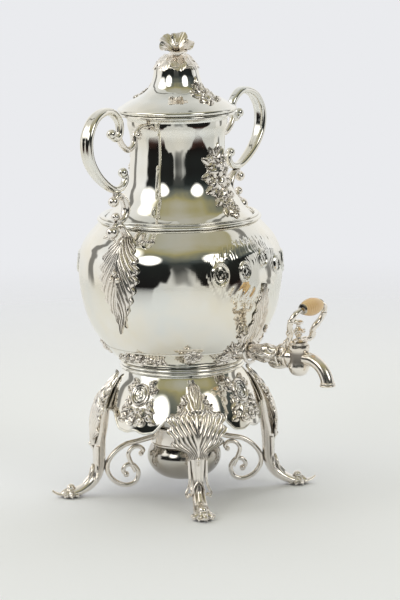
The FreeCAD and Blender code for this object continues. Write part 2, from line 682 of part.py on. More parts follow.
loop_points = upright([(106.5, 376.5), (100.5, 371.5), (94.5, 375), (94.5, 387.5), (110, 399), (132, 394),
                       (144.5, 377), (143.6, 358), (134, 342.6), (117, 328.5), (103.4, 322.4), (91, 324.5),
                       (86.5, 332), (90, 337.5)])
upper_points = upright([(95.5, 372), (90.5, 364.5), (80.5, 358.6), (71.5, 364), (69, 373), (60, 378.8),
                        (50.4, 378.3)])
middle_points = upright([(106, 311), (101, 316.3), (93, 314), (87, 303), (91.5, 293.5), (98.5, 291),
                         (103.5, 296)])
lower_points = upright([(109.5, 281.5), (105, 287.4), (97, 287), (91.5, 281), (84.8, 273)])
handle_leaf_half = [
    Corner(0, dim.shoulder_height), Corner(9, dim.shoulder_height - 3),
    Corner(dim.belly_leaf_width * 0.42, dim.upper_belly_height), Corner(dim.belly_leaf_width * 0.5, 238),
    Corner(dim.belly_leaf_width * 0.42, 220), Corner(dim.belly_leaf_width * 0.3, 200),
    Corner(7, 186), Corner(0, 177),
]
for side, azimuth in SIDES.items():
    loop = doc.addObject("Part::Feature", f"{side}_loop")
    loop.Shape = band(loop_points, Vector(0, 0.9, -0.9).normalize(), dim.bracket_wire.value,
                      dim.band_half_width.value, dim.band_half_depth.value, 31)
    top_ball = ball(f"{side}_top_ball", dim.curl_ball, loop_points[0])
    foot_ball = ball(f"{side}_foot_ball", dim.curl_ball, loop_points[-1])
    keep(fused(f"handle_loop_{side}", [loop, top_ball, foot_ball]), f"handle_{side}", azimuth)

    scroll = bent_wire(f"{side}_upper", upper_points, Vector(0, 0.3, -1).normalize(), dim.bracket_wire)
    keep(fused(f"handle_upper_scroll_{side}", [scroll, ball(f"{side}_upper_ball", dim.small_ball,
                                                            Vector(0, -66.5, 371.5))]),
         f"handle_upper_scroll_{side}", azimuth)

    upper_c = bent_wire(f"{side}_upper_c", middle_points, Vector(0, 0.1, 1).normalize(), dim.bracket_wire)
    lower_c = bent_wire(f"{side}_lower_c", lower_points, Vector(0, 0.1, 1).normalize(), dim.bracket_wire)
    keep(fused(f"{side}_lower_scrolls", [
        upper_c, ball(f"{side}_c_high", dim.curl_ball * 1.1, middle_points[0]),
        ball(f"{side}_c_low", dim.small_ball, middle_points[-1]),
        lower_c, ball(f"{side}_c_end", dim.curl_ball, lower_points[0]),
    ]), f"handle_lower_scrolls_{side}", azimuth)

    keep(draped(f"handle_leaf_{side}", belly_skin, handle_leaf_half), f"handle_leaf_{side}", azimuth)

# ---------------------------------------------------------------- spigot

front = Vector(0, -1, 0)
tube_line = Vector(0, 0, dim.tube_height.value)
barrel_spot = Vector(0, -dim.barrel_distance.value, 0)
belly_plug = revolved("belly_plug", solid_belly)

tap_tube = cylinder("tap_tube", dim.tube_radius, 60, dim.barrel_distance, tube_line, front)
tap_lobe = cylinder("tap_lobe", dim.tube_radius + 1.4, 108, 116, tube_line, front)
tap_knuckle = cylinder("tap_knuckle", dim.tube_radius + 2.6, 122, 131, tube_line, front)
tap_barrel = cylinder("tap_barrel", dim.barrel_radius, dim.barrel_low, dim.barrel_top, barrel_spot)
spout_path = upright([(142, 153.5), (157, 152.6), (168.5, 145.5), (174.5, 135), (175.5, 128)])
spout_pipe = bent_wire("spout_pipe", spout_path, front, dim.spout_radius)
spout_flange = cylinder("spout_flange", dim.mouth_radius, dim.mouth_low, dim.mouth_low + 3.2,
                        Vector(0, -175.5, 0))
tap_solid = fused("tap_solid", [tap_tube, tap_lobe, tap_knuckle, tap_barrel, spout_pipe, spout_flange])
water_way = cylinder("water_way", dim.water_bore, 50, dim.barrel_distance, tube_line, front)
spout_bore = bent_wire("spout_bore", spout_path[:-1] + [Vector(0, -175.9, 124)], front, dim.water_bore)
plug_bore = doc.addObject("Part::Cone", "plug_bore")
plug_bore.setExpression("Radius1", dim.plug_low_radius.formula)
plug_bore.setExpression("Radius2", dim.plug_top_radius.formula)
plug_bore.setExpression("Height", (dim.barrel_top - dim.barrel_low).formula)
plug_bore.Placement = Placement(barrel_spot + Vector(0, 0, dim.barrel_low.value), Rotation())
keep(cut("tap_body", tap_solid, fused("tap_hollow", [water_way, spout_bore, plug_bore, belly_plug])),
     "tap_body")

collar_tube = cylinder("collar_tube", dim.tube_radius + 4.5, 66, 90, tube_line, front)
collar_hollow = cylinder("collar_hollow", dim.tube_radius + 0.05, 60, 95, tube_line, front)
collar_skin = revolved("collar_skin", walled(offset(belly_outer[1:4], dim.thin_wall * -2.0),
                                             dim.leaf_thickness * -1.4))
collar_disc = doc.addObject("Part::Common", "collar_disc")
collar_disc.Base = collar_skin
collar_disc.Tool = collar_tube
keep(cut("tap_collar", collar_disc, collar_hollow), "tap_collar")

strainer_disc = cylinder("strainer_disc", dim.water_bore, 84, 85, tube_line, front)
hole_radius, hole_circle = 0.7, 2.4
hole_spots = [tube_line]
for index in range(6):
    turn = index * math.pi / 3
    hole_spots.append(tube_line + Vector(math.cos(turn), 0, math.sin(turn)) * hole_circle)
strainer_holes = [cylinder(f"strainer_hole_{index}", hole_radius, 83, 86, spot, front)
                  for index, spot in enumerate(hole_spots)]
keep(cut("tap_strainer", strainer_disc, fused("strainer_holes", strainer_holes)), "tap_strainer")

spigot_leaf_half = [
    Corner(0, 224), Corner(5, 216), Corner(9, 204), Corner(14, 192), Corner(20, 176), Corner(30, 163),
    Corner(31, 158.5), Corner(0, 158.5),
]
leaf_plate = draped("spigot_plate", belly_skin, spigot_leaf_half)
tube_room = cylinder("tube_room", dim.tube_radius + 4.7, 60, 120, tube_line, front)
keep(cut("spigot_leaf", leaf_plate, tube_room), "spigot_leaf")

# The key turns in the barrel as one piece: plug, nut and washer below, head, bow and grip above.
plug_gap = dim.running_gap * 0.14
plug_cone = doc.addObject("Part::Cone", "plug_cone")
plug_cone.setExpression("Radius1", (dim.plug_low_radius - plug_gap).formula)
plug_cone.setExpression("Radius2", (dim.plug_top_radius - plug_gap).formula)
plug_cone.setExpression("Height", (dim.barrel_top - dim.barrel_low).formula)
plug_cone.Placement = plug_bore.Placement
plug_shank = cylinder("plug_shank", 3.2, dim.barrel_low - 6.5, dim.barrel_low + 1, barrel_spot)
plug_stem = cylinder("plug_stem", dim.plug_top_radius - plug_gap, dim.barrel_top - 0.5, dim.barrel_top + 1,
                     barrel_spot)
plug_head = cylinder("plug_head", dim.barrel_radius - 1.5, dim.barrel_top + dim.running_gap.value,
                     dim.barrel_top + 3, barrel_spot)
plug_port = cylinder("plug_port", dim.water_bore - 0.4, -20, 20, barrel_spot + tube_line, Vector(1, 0, 0))
plug_solid = fused("plug_solid", [plug_cone, plug_shank, plug_stem, plug_head])
keep(cut("tap_plug", plug_solid, plug_port), "tap_plug")

washer_disc = cylinder("washer_disc", dim.barrel_radius - 2, dim.barrel_low - 1.5,
                       dim.barrel_low - dim.running_gap.value, barrel_spot)
washer_hole = cylinder("washer_hole", 3.25, dim.barrel_low - 3, dim.barrel_low + 1, barrel_spot)
keep(cut("tap_washer", washer_disc, washer_hole), "tap_washer")
nut_prism = doc.addObject("Part::Prism", "nut_prism")
nut_prism.Polygon = 6
nut_prism.setExpression("Circumradius", (dim.barrel_radius - 3).formula)
nut_prism.Height = 3.6
nut_prism.Placement = Placement(barrel_spot + Vector(0, 0, dim.barrel_low.value - 5.2), Rotation())
nut_hole = cylinder("nut_hole", 3.25, dim.barrel_low - 8, dim.barrel_low + 1, barrel_spot)
keep(cut("tap_nut", nut_prism, nut_hole), "tap_nut")

lean = Rotation(Vector(1, 0, 0), dim.bow_lean.value)
bow_foot = barrel_spot + Vector(0, 0, dim.barrel_top.value + 4)


def bow_side(name, sign):
    """One arm of the lyre: out from the head, up, and in again to the grip's end."""
    spots = [(7, 0.6), (15, -1), (21.5, 1.5), (20, 8), (21.5, 14), (27, 20), (29, 27.5), (26, 35),
             (18.4, 38.7)]
    points = [bow_foot + lean.multVec(Vector(sign * x, 0, rise)) for x, rise in spots]
    heading = lean.multVec(Vector(sign, 0, -0.3)).normalize()
    return bent_wire(name, points, heading, dim.bow_wire)


doc.recompute()
bow_arms = [bow_side("bow_left", -1), bow_side("bow_right", 1)]
bow_feet = [ball(f"bow_foot_{index}", dim.bow_wire * 1.5, bow_foot + lean.multVec(Vector(x, 0, 2)))
            for index, x in enumerate((-23.5, 23.5))]
bow_bridge = cylinder("bow_bridge", dim.bow_wire * 1.3, -10, 10, bow_foot, Vector(1, 0, 0))
bow_collar = cylinder("bow_collar", 6.5, dim.barrel_top + 3, dim.barrel_top + 5.6, barrel_spot)
head_room = cylinder("head_room", dim.barrel_radius, dim.barrel_top - 4, dim.barrel_top + 3, barrel_spot)
stem_room = cylinder("stem_room", 3.4, dim.barrel_top, dim.barrel_top + 12, barrel_spot)
grip_spot = Vector(0, -dim.barrel_distance.value - dim.grip_reach.value, dim.grip_height.value)
keep(cut("key_bow", fused("bow_solid", bow_arms + bow_feet + [bow_bridge, bow_collar]),
         fused("bow_room", [head_room, stem_room])), "key_bow")

pin_radius = 1.5
pin_hole = pin_radius + 0.05
keep(cylinder("grip_pin", pin_radius, dim.grip_half_length * -1 - 1.5, dim.grip_half_length + 1.5, grip_spot,
              Vector(1, 0, 0)), "grip_pin")


def turned_along_x(name, outline, spot):
    """A lathe-turned shape whose axis runs along X through the spot."""
    shape = revolved(name, outline)
    shape.Placement = Placement(spot, Rotation(Vector(0, 1, 0), 90))
    return shape


keep(turned_along_x("grip_barrel", [
    Corner(pin_hole, dim.grip_half_length * -1), Corner(dim.grip_end_radius, dim.grip_half_length * -1),
    Mid(dim.grip_radius, 0.01), Corner(dim.grip_end_radius, dim.grip_half_length),
    Corner(pin_hole, dim.grip_half_length),
], grip_spot), "key_grip")
ferrules = []
for index, sign in enumerate((-1, 1)):
    inner_face, outer_face = (dim.grip_half_length + 0.02) * sign, (dim.grip_half_length + 1.5) * sign
    ferrules.append(turned_along_x(f"ferrule_{index}", [
        Corner(pin_hole, inner_face), Corner(4.6, inner_face), Corner(3.4, outer_face),
        Corner(pin_hole, outer_face),
    ], grip_spot))
keep(fused("grip_ferrules_solid", ferrules), "grip_ferrules")

finial_foot = dim.barrel_top.value + 3
crown_middle = barrel_spot + Vector(0, 0, finial_foot + 10)
crown_arm = 2.2
crown_parts = [
    cylinder("crown_stem", 3.4, finial_foot, finial_foot + 15, barrel_spot),
    ball("crown_top", 3.6, barrel_spot + Vector(0, 0, finial_foot + 19)),
    cylinder("crown_arms", crown_arm, -10.5, 10.5, crown_middle, Vector(1, 0, 0)),
    cylinder("crown_arms_across", crown_arm, -7, 7, crown_middle, Vector(0, 1, 0)),
    cylinder("crown_neck", crown_arm, finial_foot + 14, finial_foot + 18, barrel_spot),
]
keep(fused("crown_solid", crown_parts), "key_finial")

# ---------------------------------------------------------------- lid

lid_outer = [
    Corner(dim.lid_radius, dim.lid_foot_height), Mid(dim.lid_slope_radius, dim.lid_slope_height),
    Corner(dim.bell_radius, dim.bell_height), Mid(dim.crown_radius + 1.6, dim.crown_height - 4.6),
    Corner(dim.crown_radius, dim.crown_height), Corner(dim.crown_radius - 4, dim.crown_height + 2.4),
    Mid(dim.lid_neck_radius + 1.2, dim.crown_height + 7), Corner(dim.lid_neck_radius, dim.lid_neck_height),
]
turned("lid_dome", walled(lid_outer, dim.thin_wall))
wire_bore = dim.lid_radius - 1.6
turned("lid_rim_wire", [
    Corner(wire_bore, dim.lid_seat_height), Corner(dim.lid_radius + 0.6, dim.lid_seat_height),
    Mid(dim.lid_radius + 2.4, dim.lid_seat_height + 2), Corner(dim.lid_radius + 0.6, dim.lid_foot_height),
    Corner(wire_bore, dim.lid_foot_height),
])
turned("lid_bezel", [
    Corner(dim.bezel_radius - dim.thin_wall, dim.lid_seat_height - dim.bezel_drop.value),
    Corner(dim.bezel_radius, dim.lid_seat_height - dim.bezel_drop.value),
    Corner(dim.bezel_radius, dim.lid_seat_height + 0.2), Corner(wire_bore, dim.lid_seat_height + 0.2),
    Corner(wire_bore, dim.lid_seat_height + 1.4),
    Corner(dim.bezel_radius - dim.thin_wall, dim.lid_seat_height + 1.4),
])
lid_skin = walled(offset(lid_outer[:5], dim.thin_wall * -0.05), dim.leaf_thickness * -0.8)
lid_spray_half = [
    Corner(0, dim.crown_height - 1), Corner(7, dim.crown_height - 6), Corner(15, dim.bell_height - 3),
    Corner(18, dim.lid_slope_height), Corner(8, dim.lid_foot_height + 4),
    Corner(0, dim.lid_foot_height + 3),
]
front_and_back("lid_sprays", lid_skin, lid_spray_half)

screw_radius = 2.4
turned("finial_base", [
    Corner(screw_radius + 0.1, dim.lid_neck_height), Corner(dim.lid_neck_radius, dim.lid_neck_height),
    Mid(dim.lid_neck_radius + 0.8, dim.lid_neck_height + 1.2),
    Corner(dim.lid_neck_radius, dim.lid_neck_height + 2.4), Corner(8, dim.lid_neck_height + 3.4),
    Corner(screw_radius + 0.1, dim.lid_neck_height + 3.4),
])
turned("finial_calyx", [
    Corner(screw_radius + 0.1, dim.lid_neck_height + 3.4), Corner(8, dim.lid_neck_height + 3.4),
    Mid(17, dim.lid_neck_height + 6), Corner(dim.calyx_radius, dim.lid_neck_height + 5),
    Corner(dim.calyx_radius - 1, dim.lid_neck_height + 10), Mid(14, dim.flower_low),
    Corner(6, dim.flower_low), Corner(screw_radius + 0.1, dim.flower_low),
])
turned("finial_flower", [
    Corner(screw_radius + 0.1, dim.flower_low), Corner(6, dim.flower_low),
    Mid(15.4, dim.flower_low + 8), Corner(dim.flower_radius, dim.overall_height),
    Corner(dim.flower_radius - 1.6, dim.overall_height), Mid(11.5, dim.flower_low + 9),
    Corner(4.6, dim.flower_low + 4), Corner(screw_radius + 0.1, dim.flower_low + 4),
])
turned("finial_boss", [
    Corner(0, dim.flower_low + 4), Corner(4.5, dim.flower_low + 4), Mid(5.6, dim.flower_low + 9),
    Corner(2.5, dim.flower_low + 13), Corner(0, dim.flower_low + 13),
])
turned("finial_screw", [
    Corner(0, dim.lid_neck_height - 7), Corner(screw_radius, dim.lid_neck_height - 7),
    Corner(screw_radius, dim.flower_low + 4), Corner(0, dim.flower_low + 4),
])
finial_nut = doc.addObject("Part::Prism", "finial_nut_prism")
finial_nut.Polygon = 6
finial_nut.Circumradius = 5.2
finial_nut.Height = 3.6
finial_nut.Placement = Placement(Vector(0, 0, dim.lid_neck_height.value - 3.6), Rotation())
nut_bore = cylinder("finial_nut_bore", screw_radius + 0.1, dim.lid_neck_height - 8, dim.lid_neck_height + 2)
keep(cut("finial_nut", finial_nut, nut_bore), "finial_nut")

# ---------------------------------------------------------------- check and write

doc.recompute()
for thing in doc.Objects:
    if "Invalid" in thing.State or "Error" in thing.State:
        raise SystemExit(f"{thing.Name} failed: {thing.State}")
for node in nodes:
    if node.Shape.isNull() or not node.Shape.isValid() or not node.Shape.Solids:
        raise SystemExit(f"{node.Label} has no sound solid")

os.makedirs("parts", exist_ok=True)
for node in nodes:
    node.Shape.exportStep(f"parts/{node.Label}.step")
    box = node.Shape.BoundBox
    print(f"{node.Label}: {len(node.Shape.Solids)} solids, {node.Shape.Volume:.0f} mm3, "
          f"z {box.ZMin:.1f} to {box.ZMax:.1f}")
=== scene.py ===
import math
import random
from bisect import bisect_left

import bmesh
import bpy
from mathutils import Matrix, Vector


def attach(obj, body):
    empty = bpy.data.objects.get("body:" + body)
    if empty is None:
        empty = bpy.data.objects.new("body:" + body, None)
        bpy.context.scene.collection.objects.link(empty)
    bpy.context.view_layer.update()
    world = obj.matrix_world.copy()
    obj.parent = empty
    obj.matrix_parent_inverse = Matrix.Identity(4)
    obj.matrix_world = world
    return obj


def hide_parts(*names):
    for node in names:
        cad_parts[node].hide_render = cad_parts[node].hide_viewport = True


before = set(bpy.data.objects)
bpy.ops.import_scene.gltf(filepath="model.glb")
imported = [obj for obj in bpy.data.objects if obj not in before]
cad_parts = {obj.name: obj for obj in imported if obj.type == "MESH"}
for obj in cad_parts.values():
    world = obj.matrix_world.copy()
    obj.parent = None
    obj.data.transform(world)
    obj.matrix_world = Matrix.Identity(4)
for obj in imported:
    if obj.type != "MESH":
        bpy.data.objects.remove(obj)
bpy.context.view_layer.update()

# ---------------------------------------------------------------- studio
# A pale sweep of paper in a white tent. Lamps glow through the cloth on both sides of the lens and
# the room behind it is dark, so the silver carries broad whites, one dark window and crisp edges.

VIEW_TURN = math.radians(-53.38)    # the lens stands between the spigot and the left handle
LENS_AWAY = 2.517
LENS_HEIGHT = 0.6605
LENS_PITCH = math.radians(10.43)
LENS_YAW = math.radians(0.435)
LENS_ROLL = math.radians(1.137)
SENSOR_MM = 36
LENS_MM = 152.4
LAMPS = [(-38, 27, 5, 3.0), (-74, 34, 10, 1.6), (44, 28, 5, 3.0)]   # degrees round, up, half width; strength
GLOW_EDGE = 11              # degrees over which a lamp's glow fades
BACKDROP = "#EAEBEE"        # the tent as the lens sees it
FILL_LIGHT = 0.78           # what the tent adds for matt surfaces
WINDOW_SHIFT = 0.2          # radians: the dark side's middle lies a little to one side of the lens
WINDOW_EDGES = (1.66, 1.54)
GABLE_AT, GABLE_SLOPE = 0.88, -0.55
POLES_AT = 2.1


def linear(hex_colour):
    """An sRGB hex colour as linear red, green, blue and alpha."""
    shares = [int(hex_colour[at:at + 2], 16) / 255 for at in (1, 3, 5)]
    return [s / 12.92 if s <= 0.04045 else ((s + 0.055) / 1.055) ** 2.4 for s in shares] + [1]


def add_node(tree, kind, inputs=(), **settings):
    """Add a node, set its properties, and give each named input a value or another node's output."""
    node = tree.nodes.new(kind)
    for name, value in settings.items():
        setattr(node, name, value)
    for name, value in dict(inputs).items():
        if isinstance(value, bpy.types.NodeSocket):
            tree.links.new(value, node.inputs[name])
        else:
            node.inputs[name].default_value = value
    return node


def ramp_stops(node, stops):
    """Give a colour ramp its stops, from (place, hex colour) pairs."""
    elements = node.color_ramp.elements
    while len(elements) < len(stops):
        elements.new(0.5)
    for element, (place, colour) in zip(elements, stops):
        element.position = place
        element.color = linear(colour)


def bare_material(name):
    """A new material and its empty node tree."""
    finish = bpy.data.materials.new(name)
    finish.use_nodes = True
    finish.node_tree.nodes.clear()
    return finish, finish.node_tree


def stand_camera():
    ahead = Vector((math.sin(LENS_YAW) * math.cos(LENS_PITCH), math.cos(LENS_YAW) * math.cos(LENS_PITCH),
                    -math.sin(LENS_PITCH)))
    right = Vector((math.cos(LENS_YAW), -math.sin(LENS_YAW), 0))
    up = right.cross(ahead)
    up = up * math.cos(LENS_ROLL) + right * math.sin(LENS_ROLL)
    right = ahead.cross(up)
    turn = Matrix.Rotation(VIEW_TURN, 4, "Z")
    place = Matrix.Translation(Vector((0, -LENS_AWAY, LENS_HEIGHT)))
    facing = Matrix((right, up, -ahead)).transposed().to_4x4()
    lens = bpy.data.cameras.new("studio_camera")
    lens.sensor_width = SENSOR_MM
    lens.lens = LENS_MM
    camera = bpy.data.objects.new("studio_camera", lens)
    camera.matrix_world = turn @ place @ facing
    bpy.context.scene.collection.objects.link(camera)
    bpy.context.scene.camera = camera


def light_tent():
    """What the silver mirrors: pale cloth all round, the dark room behind the lens with its lit ceiling,
    and the glow of the lamps. Straight from the lens the tent is one plain pale grey."""
    world = bpy.data.worlds.new("white_tent")
    world.use_nodes = True
    bpy.context.scene.world = world
    tree = world.node_tree
    tree.nodes.clear()
    way = add_node(tree, "ShaderNodeTexCoord")
    faced = add_node(tree, "ShaderNodeMapping", {"Vector": way.outputs["Generated"],
                                                 "Rotation": (0, 0, -VIEW_TURN)}, vector_type="POINT")
    folds = add_node(tree, "ShaderNodeTexNoise", {"Vector": faced.outputs["Vector"], "Scale": 2.3,
                                                  "Detail": 2.0})
    centred = add_node(tree, "ShaderNodeVectorMath", {0: folds.outputs["Color"], 1: (0.5, 0.5, 0.5)},
                       operation="SUBTRACT")
    bent = add_node(tree, "ShaderNodeVectorMath", {0: centred.outputs["Vector"], 1: (0.7, 0.5, 0.34),
                                                   2: faced.outputs["Vector"]}, operation="MULTIPLY_ADD")
    parts = add_node(tree, "ShaderNodeSeparateXYZ", {"Vector": bent.outputs["Vector"]})
    ahead = add_node(tree, "ShaderNodeMath", {0: parts.outputs["Y"], 1: -1.0}, operation="MULTIPLY")
    turned = add_node(tree, "ShaderNodeMath", {0: parts.outputs["X"], 1: ahead.outputs["Value"]},
                      operation="ARCTAN2")
    aside = add_node(tree, "ShaderNodeMath", {0: turned.outputs["Value"]}, operation="ABSOLUTE")
    swung = add_node(tree, "ShaderNodeMath", {0: turned.outputs["Value"], 1: WINDOW_SHIFT},
                     operation="SUBTRACT")
    round_room = add_node(tree, "ShaderNodeMath", {0: swung.outputs["Value"]}, operation="ABSOLUTE")
    height = add_node(tree, "ShaderNodeMapRange", {"Value": parts.outputs["Z"], "From Min": -1.0,
                                                   "From Max": 1.0})
    walls = add_node(tree, "ShaderNodeValToRGB", {"Fac": height.outputs["Result"]})
    ramp_stops(walls, [(0.0, "#D9D7CE"), (0.36, "#E3E1D9"), (0.46, "#F1F0EC"), (0.6, "#FCFCFB"),
                       (0.84, "#E9E9E5"), (1.0, "#C4C5BF")])
    off_peak = add_node(tree, "ShaderNodeMath", {0: aside.outputs["Value"], 1: GABLE_AT},
                        operation="SUBTRACT")
    slope = add_node(tree, "ShaderNodeMath", {0: off_peak.outputs["Value"]}, operation="ABSOLUTE")
    gable = add_node(tree, "ShaderNodeMath", {0: slope.outputs["Value"], 1: GABLE_SLOPE,
                                            2: height.outputs["Result"]}, operation="MULTIPLY_ADD")
    above_table = add_node(tree, "ShaderNodeMapRange", {"Value": gable.outputs["Value"], "From Min": 0.17,
                                                        "From Max": 0.20})
    dark = add_node(tree, "ShaderNodeValToRGB", {"Fac": height.outputs["Result"]})
    ramp_stops(dark, [(0.0, "#5A3C30"), (0.34, "#46302A"), (0.42, "#1B1817"), (0.62, "#262A29"),
                      (0.72, "#4B5150"), (0.80, "#74776C"), (0.87, "#A09A72"), (1.0, "#B5B4AA")])
    table = add_node(tree, "ShaderNodeValToRGB", {"Fac": height.outputs["Result"]})
    ramp_stops(table, [(0.0, "#E4E2DA"), (0.22, "#E2E0D8"), (0.25, "#C9C9C2"), (0.5, "#D5D5D0")])
    room = add_node(tree, "ShaderNodeMix", {"Factor": above_table.outputs["Result"],
                                            6: table.outputs["Color"], 7: dark.outputs["Color"]},
                    data_type="RGBA")
    lens_side = add_node(tree, "ShaderNodeValToRGB", {"Fac": height.outputs["Result"]})
    ramp_stops(lens_side, [(0.0, "#D6D4CA"), (0.42, "#D9D9D4"), (0.47, "#8E8E8A"), (0.54, "#4A4B49"),
                           (0.68, "#3F4442"), (0.80, "#74766A"), (0.87, "#A09A72"), (1.0, "#B5B4AA")])
    middle = add_node(tree, "ShaderNodeMapRange", {"Value": aside.outputs["Value"], "From Min": 0.34,
                                                   "From Max": 0.14}, interpolation_type="SMOOTHSTEP")
    behind_lens = add_node(tree, "ShaderNodeMix", {"Factor": middle.outputs["Result"], 6: room.outputs[2],
                                                   7: lens_side.outputs["Color"]}, data_type="RGBA")
    window = add_node(tree, "ShaderNodeMapRange", {"Value": round_room.outputs["Value"],
                                                   "From Min": WINDOW_EDGES[0], "From Max": WINDOW_EDGES[1]},
                      interpolation_type="SMOOTHSTEP")
    seen = add_node(tree, "ShaderNodeMix", {"Factor": window.outputs["Result"], 6: walls.outputs["Color"],
                                            7: behind_lens.outputs[2]}, data_type="RGBA")
    poles = add_node(tree, "ShaderNodeMath", {0: aside.outputs["Value"], 1: POLES_AT}, operation="SUBTRACT")
    pole_side = add_node(tree, "ShaderNodeMath", {0: poles.outputs["Value"]}, operation="ABSOLUTE")
    pole = add_node(tree, "ShaderNodeMapRange", {"Value": pole_side.outputs["Value"], "From Min": 0.11,
                                                 "From Max": 0.05, "To Max": 0.8},
                    interpolation_type="SMOOTHSTEP")
    standing = add_node(tree, "ShaderNodeMapRange", {"Value": parts.outputs["Z"], "From Min": -0.22,
                                                     "From Max": -0.14})
    shown_pole = add_node(tree, "ShaderNodeMath", {0: pole.outputs["Result"], 1: standing.outputs["Result"]},
                          operation="MULTIPLY")
    poled = add_node(tree, "ShaderNodeMix", {"Factor": shown_pole.outputs["Value"], 6: seen.outputs[2],
                                             7: linear("#4A4843")}, data_type="RGBA")
    path = add_node(tree, "ShaderNodeLightPath")
    tent = add_node(tree, "ShaderNodeMix", {"Factor": path.outputs["Is Camera Ray"], 6: poled.outputs[2],
                                            7: linear(BACKDROP)}, data_type="RGBA")
    glow = None
    for round_way, up, half, strength in LAMPS:
        level = math.cos(math.radians(up))
        lamp_way = (math.sin(math.radians(round_way)) * level, -math.cos(math.radians(round_way)) * level,
                    math.sin(math.radians(up)))
        facing = add_node(tree, "ShaderNodeVectorMath", {0: faced.outputs["Vector"], 1: lamp_way},
                          operation="DOT_PRODUCT")
        lamp = add_node(tree, "ShaderNodeMapRange", {
            "Value": facing.outputs["Value"], "From Min": math.cos(math.radians(half + GLOW_EDGE)),
            "From Max": math.cos(math.radians(half)), "To Max": strength}, interpolation_type="SMOOTHSTEP")
        glow = lamp.outputs["Result"] if glow is None else add_node(
            tree, "ShaderNodeMath", {0: glow, 1: lamp.outputs["Result"]}, operation="ADD").outputs["Value"]
    hidden = add_node(tree, "ShaderNodeMath", {0: 1.0, 1: path.outputs["Is Camera Ray"]},
                      operation="SUBTRACT")
    unseen_glow = add_node(tree, "ShaderNodeMath", {0: glow, 1: hidden.outputs["Value"]},
                           operation="MULTIPLY")
    lamps = add_node(tree, "ShaderNodeBackground", {"Color": linear("#FFFDF8"),
                                                    "Strength": unseen_glow.outputs["Value"]})
    fill = add_node(tree, "ShaderNodeMath", {0: path.outputs["Is Diffuse Ray"], 1: FILL_LIGHT, 2: 1.0},
                    operation="MULTIPLY_ADD")
    cloth = add_node(tree, "ShaderNodeBackground", {"Color": tent.outputs[2],
                                                    "Strength": fill.outputs["Value"]})
    both = add_node(tree, "ShaderNodeAddShader", {0: cloth.outputs["Background"],
                                                  1: lamps.outputs["Background"]})
    add_node(tree, "ShaderNodeOutputWorld", {"Surface": both.outputs["Shader"]})


def lay_floor():
    """Pale paper that fades into the tent."""
    bm = bmesh.new()
    bmesh.ops.create_circle(bm, cap_ends=True, segments=96, radius=3.0)
    mesh = bpy.data.meshes.new("paper_floor")
    bm.to_mesh(mesh)
    bm.free()
    floor = bpy.data.objects.new("paper_floor", mesh)
    bpy.context.scene.collection.objects.link(floor)
    paper, tree = bare_material("matt_paper")
    spot = add_node(tree, "ShaderNodeTexCoord")
    reach = add_node(tree, "ShaderNodeVectorMath", {0: spot.outputs["Object"]}, operation="LENGTH")
    fade = add_node(tree, "ShaderNodeMapRange", {"Value": reach.outputs["Value"], "From Min": 0.35,
                                                 "From Max": 1.5}, interpolation_type="SMOOTHSTEP")
    matt = add_node(tree, "ShaderNodeBsdfDiffuse", {"Color": linear("#ECEEF4")})
    clear = add_node(tree, "ShaderNodeBsdfTransparent")
    both = add_node(tree, "ShaderNodeMixShader", {"Fac": fade.outputs["Result"], 1: matt.outputs["BSDF"],
                                                  2: clear.outputs["BSDF"]})
    add_node(tree, "ShaderNodeOutputMaterial", {"Surface": both.outputs["Shader"]})
    mesh.materials.append(paper)


stand_camera()
light_tent()
lay_floor()
bpy.context.scene.view_settings.view_transform = "Standard"

# ---------------------------------------------------------------- belly
# The body of the urn, raised from sheet copper, silver plated and burnished. Front and back carry
# a repousse cartouche: five oval bosses on a ground of chased feathering.

MM = 0.001
SHEET = 1.4
SEAT_RADIUS = 58.0
BACK_LIMIT = 101.7          # the back's ornament is burnished flat here
MM_PER_DEGREE = 1.76        # round the belly at its fullest


def flowing(points, step):
    """A smooth line through the points, with a vertex about every step."""
    knots = [Vector(point) for point in points]
    knots = [knots[0] * 2 - knots[1]] + knots + [knots[-1] * 2 - knots[-2]]
    line = [knots[1].copy()]
    for before, start, end, after in zip(knots, knots[1:], knots[2:], knots[3:]):
        first, span, last = [max((b - a).length, 1e-6) ** 0.5
                             for a, b in ((before, start), (start, end), (end, after))]
        leave = ((start - before) / first - (end - before) / (first + span) + (end - start) / span) * span
        arrive = ((end - start) / span - (after - start) / (span + last) + (after - end) / last) * span
        count = max(1, round((end - start).length / step))
        for index in range(1, count + 1):
            t = index / count
            line.append(start * (2 * t ** 3 - 3 * t ** 2 + 1) + leave * (t ** 3 - 2 * t ** 2 + t)
                        + end * (3 * t ** 2 - 2 * t ** 3) + arrive * (t ** 3 - t ** 2))
    return line


def walled(line, thickness, stride=4):
    """A closed outline: the line, and its inner side a wall's thickness to the left of its travel."""
    inner = []
    last = len(line) - 1
    for index in sorted(set(list(range(0, last, stride)) + [last])):
        way = (line[min(index + 1, last)] - line[max(index - 1, 0)]).normalized()
        inner.append(line[index] + Vector((-way.y, way.x)) * thickness)
    return line + inner[::-1] + [line[0]]


def lathe(outline, steps=240):
    """Turn an outline of (radius, height) about the vessel's axis."""
    bm = bmesh.new()
    verts = [bm.verts.new((radius, 0, height)) for radius, height in outline]
    edges = [bm.edges.new(pair) for pair in zip(verts, verts[1:])]
    bmesh.ops.spin(bm, geom=verts + edges, cent=(0, 0, 0), axis=(0, 0, 1), dvec=(0, 0, 0),
                   angle=math.tau, steps=steps, use_merge=True, use_duplicate=False)
    bmesh.ops.remove_doubles(bm, verts=bm.verts, dist=1e-4)
    bmesh.ops.recalc_face_normals(bm, faces=bm.faces)
    return bm


def turn_of(spot):
    """Degrees round the axis from the spigot's side, positive towards the right handle."""
    return math.degrees(math.atan2(spot.x, -spot.y))


def step_up(value, low, high):
    """0 below low, 1 above high, eased between them."""
    share = min(max((value - low) / (high - low), 0), 1)
    return share * share * (3 - 2 * share)


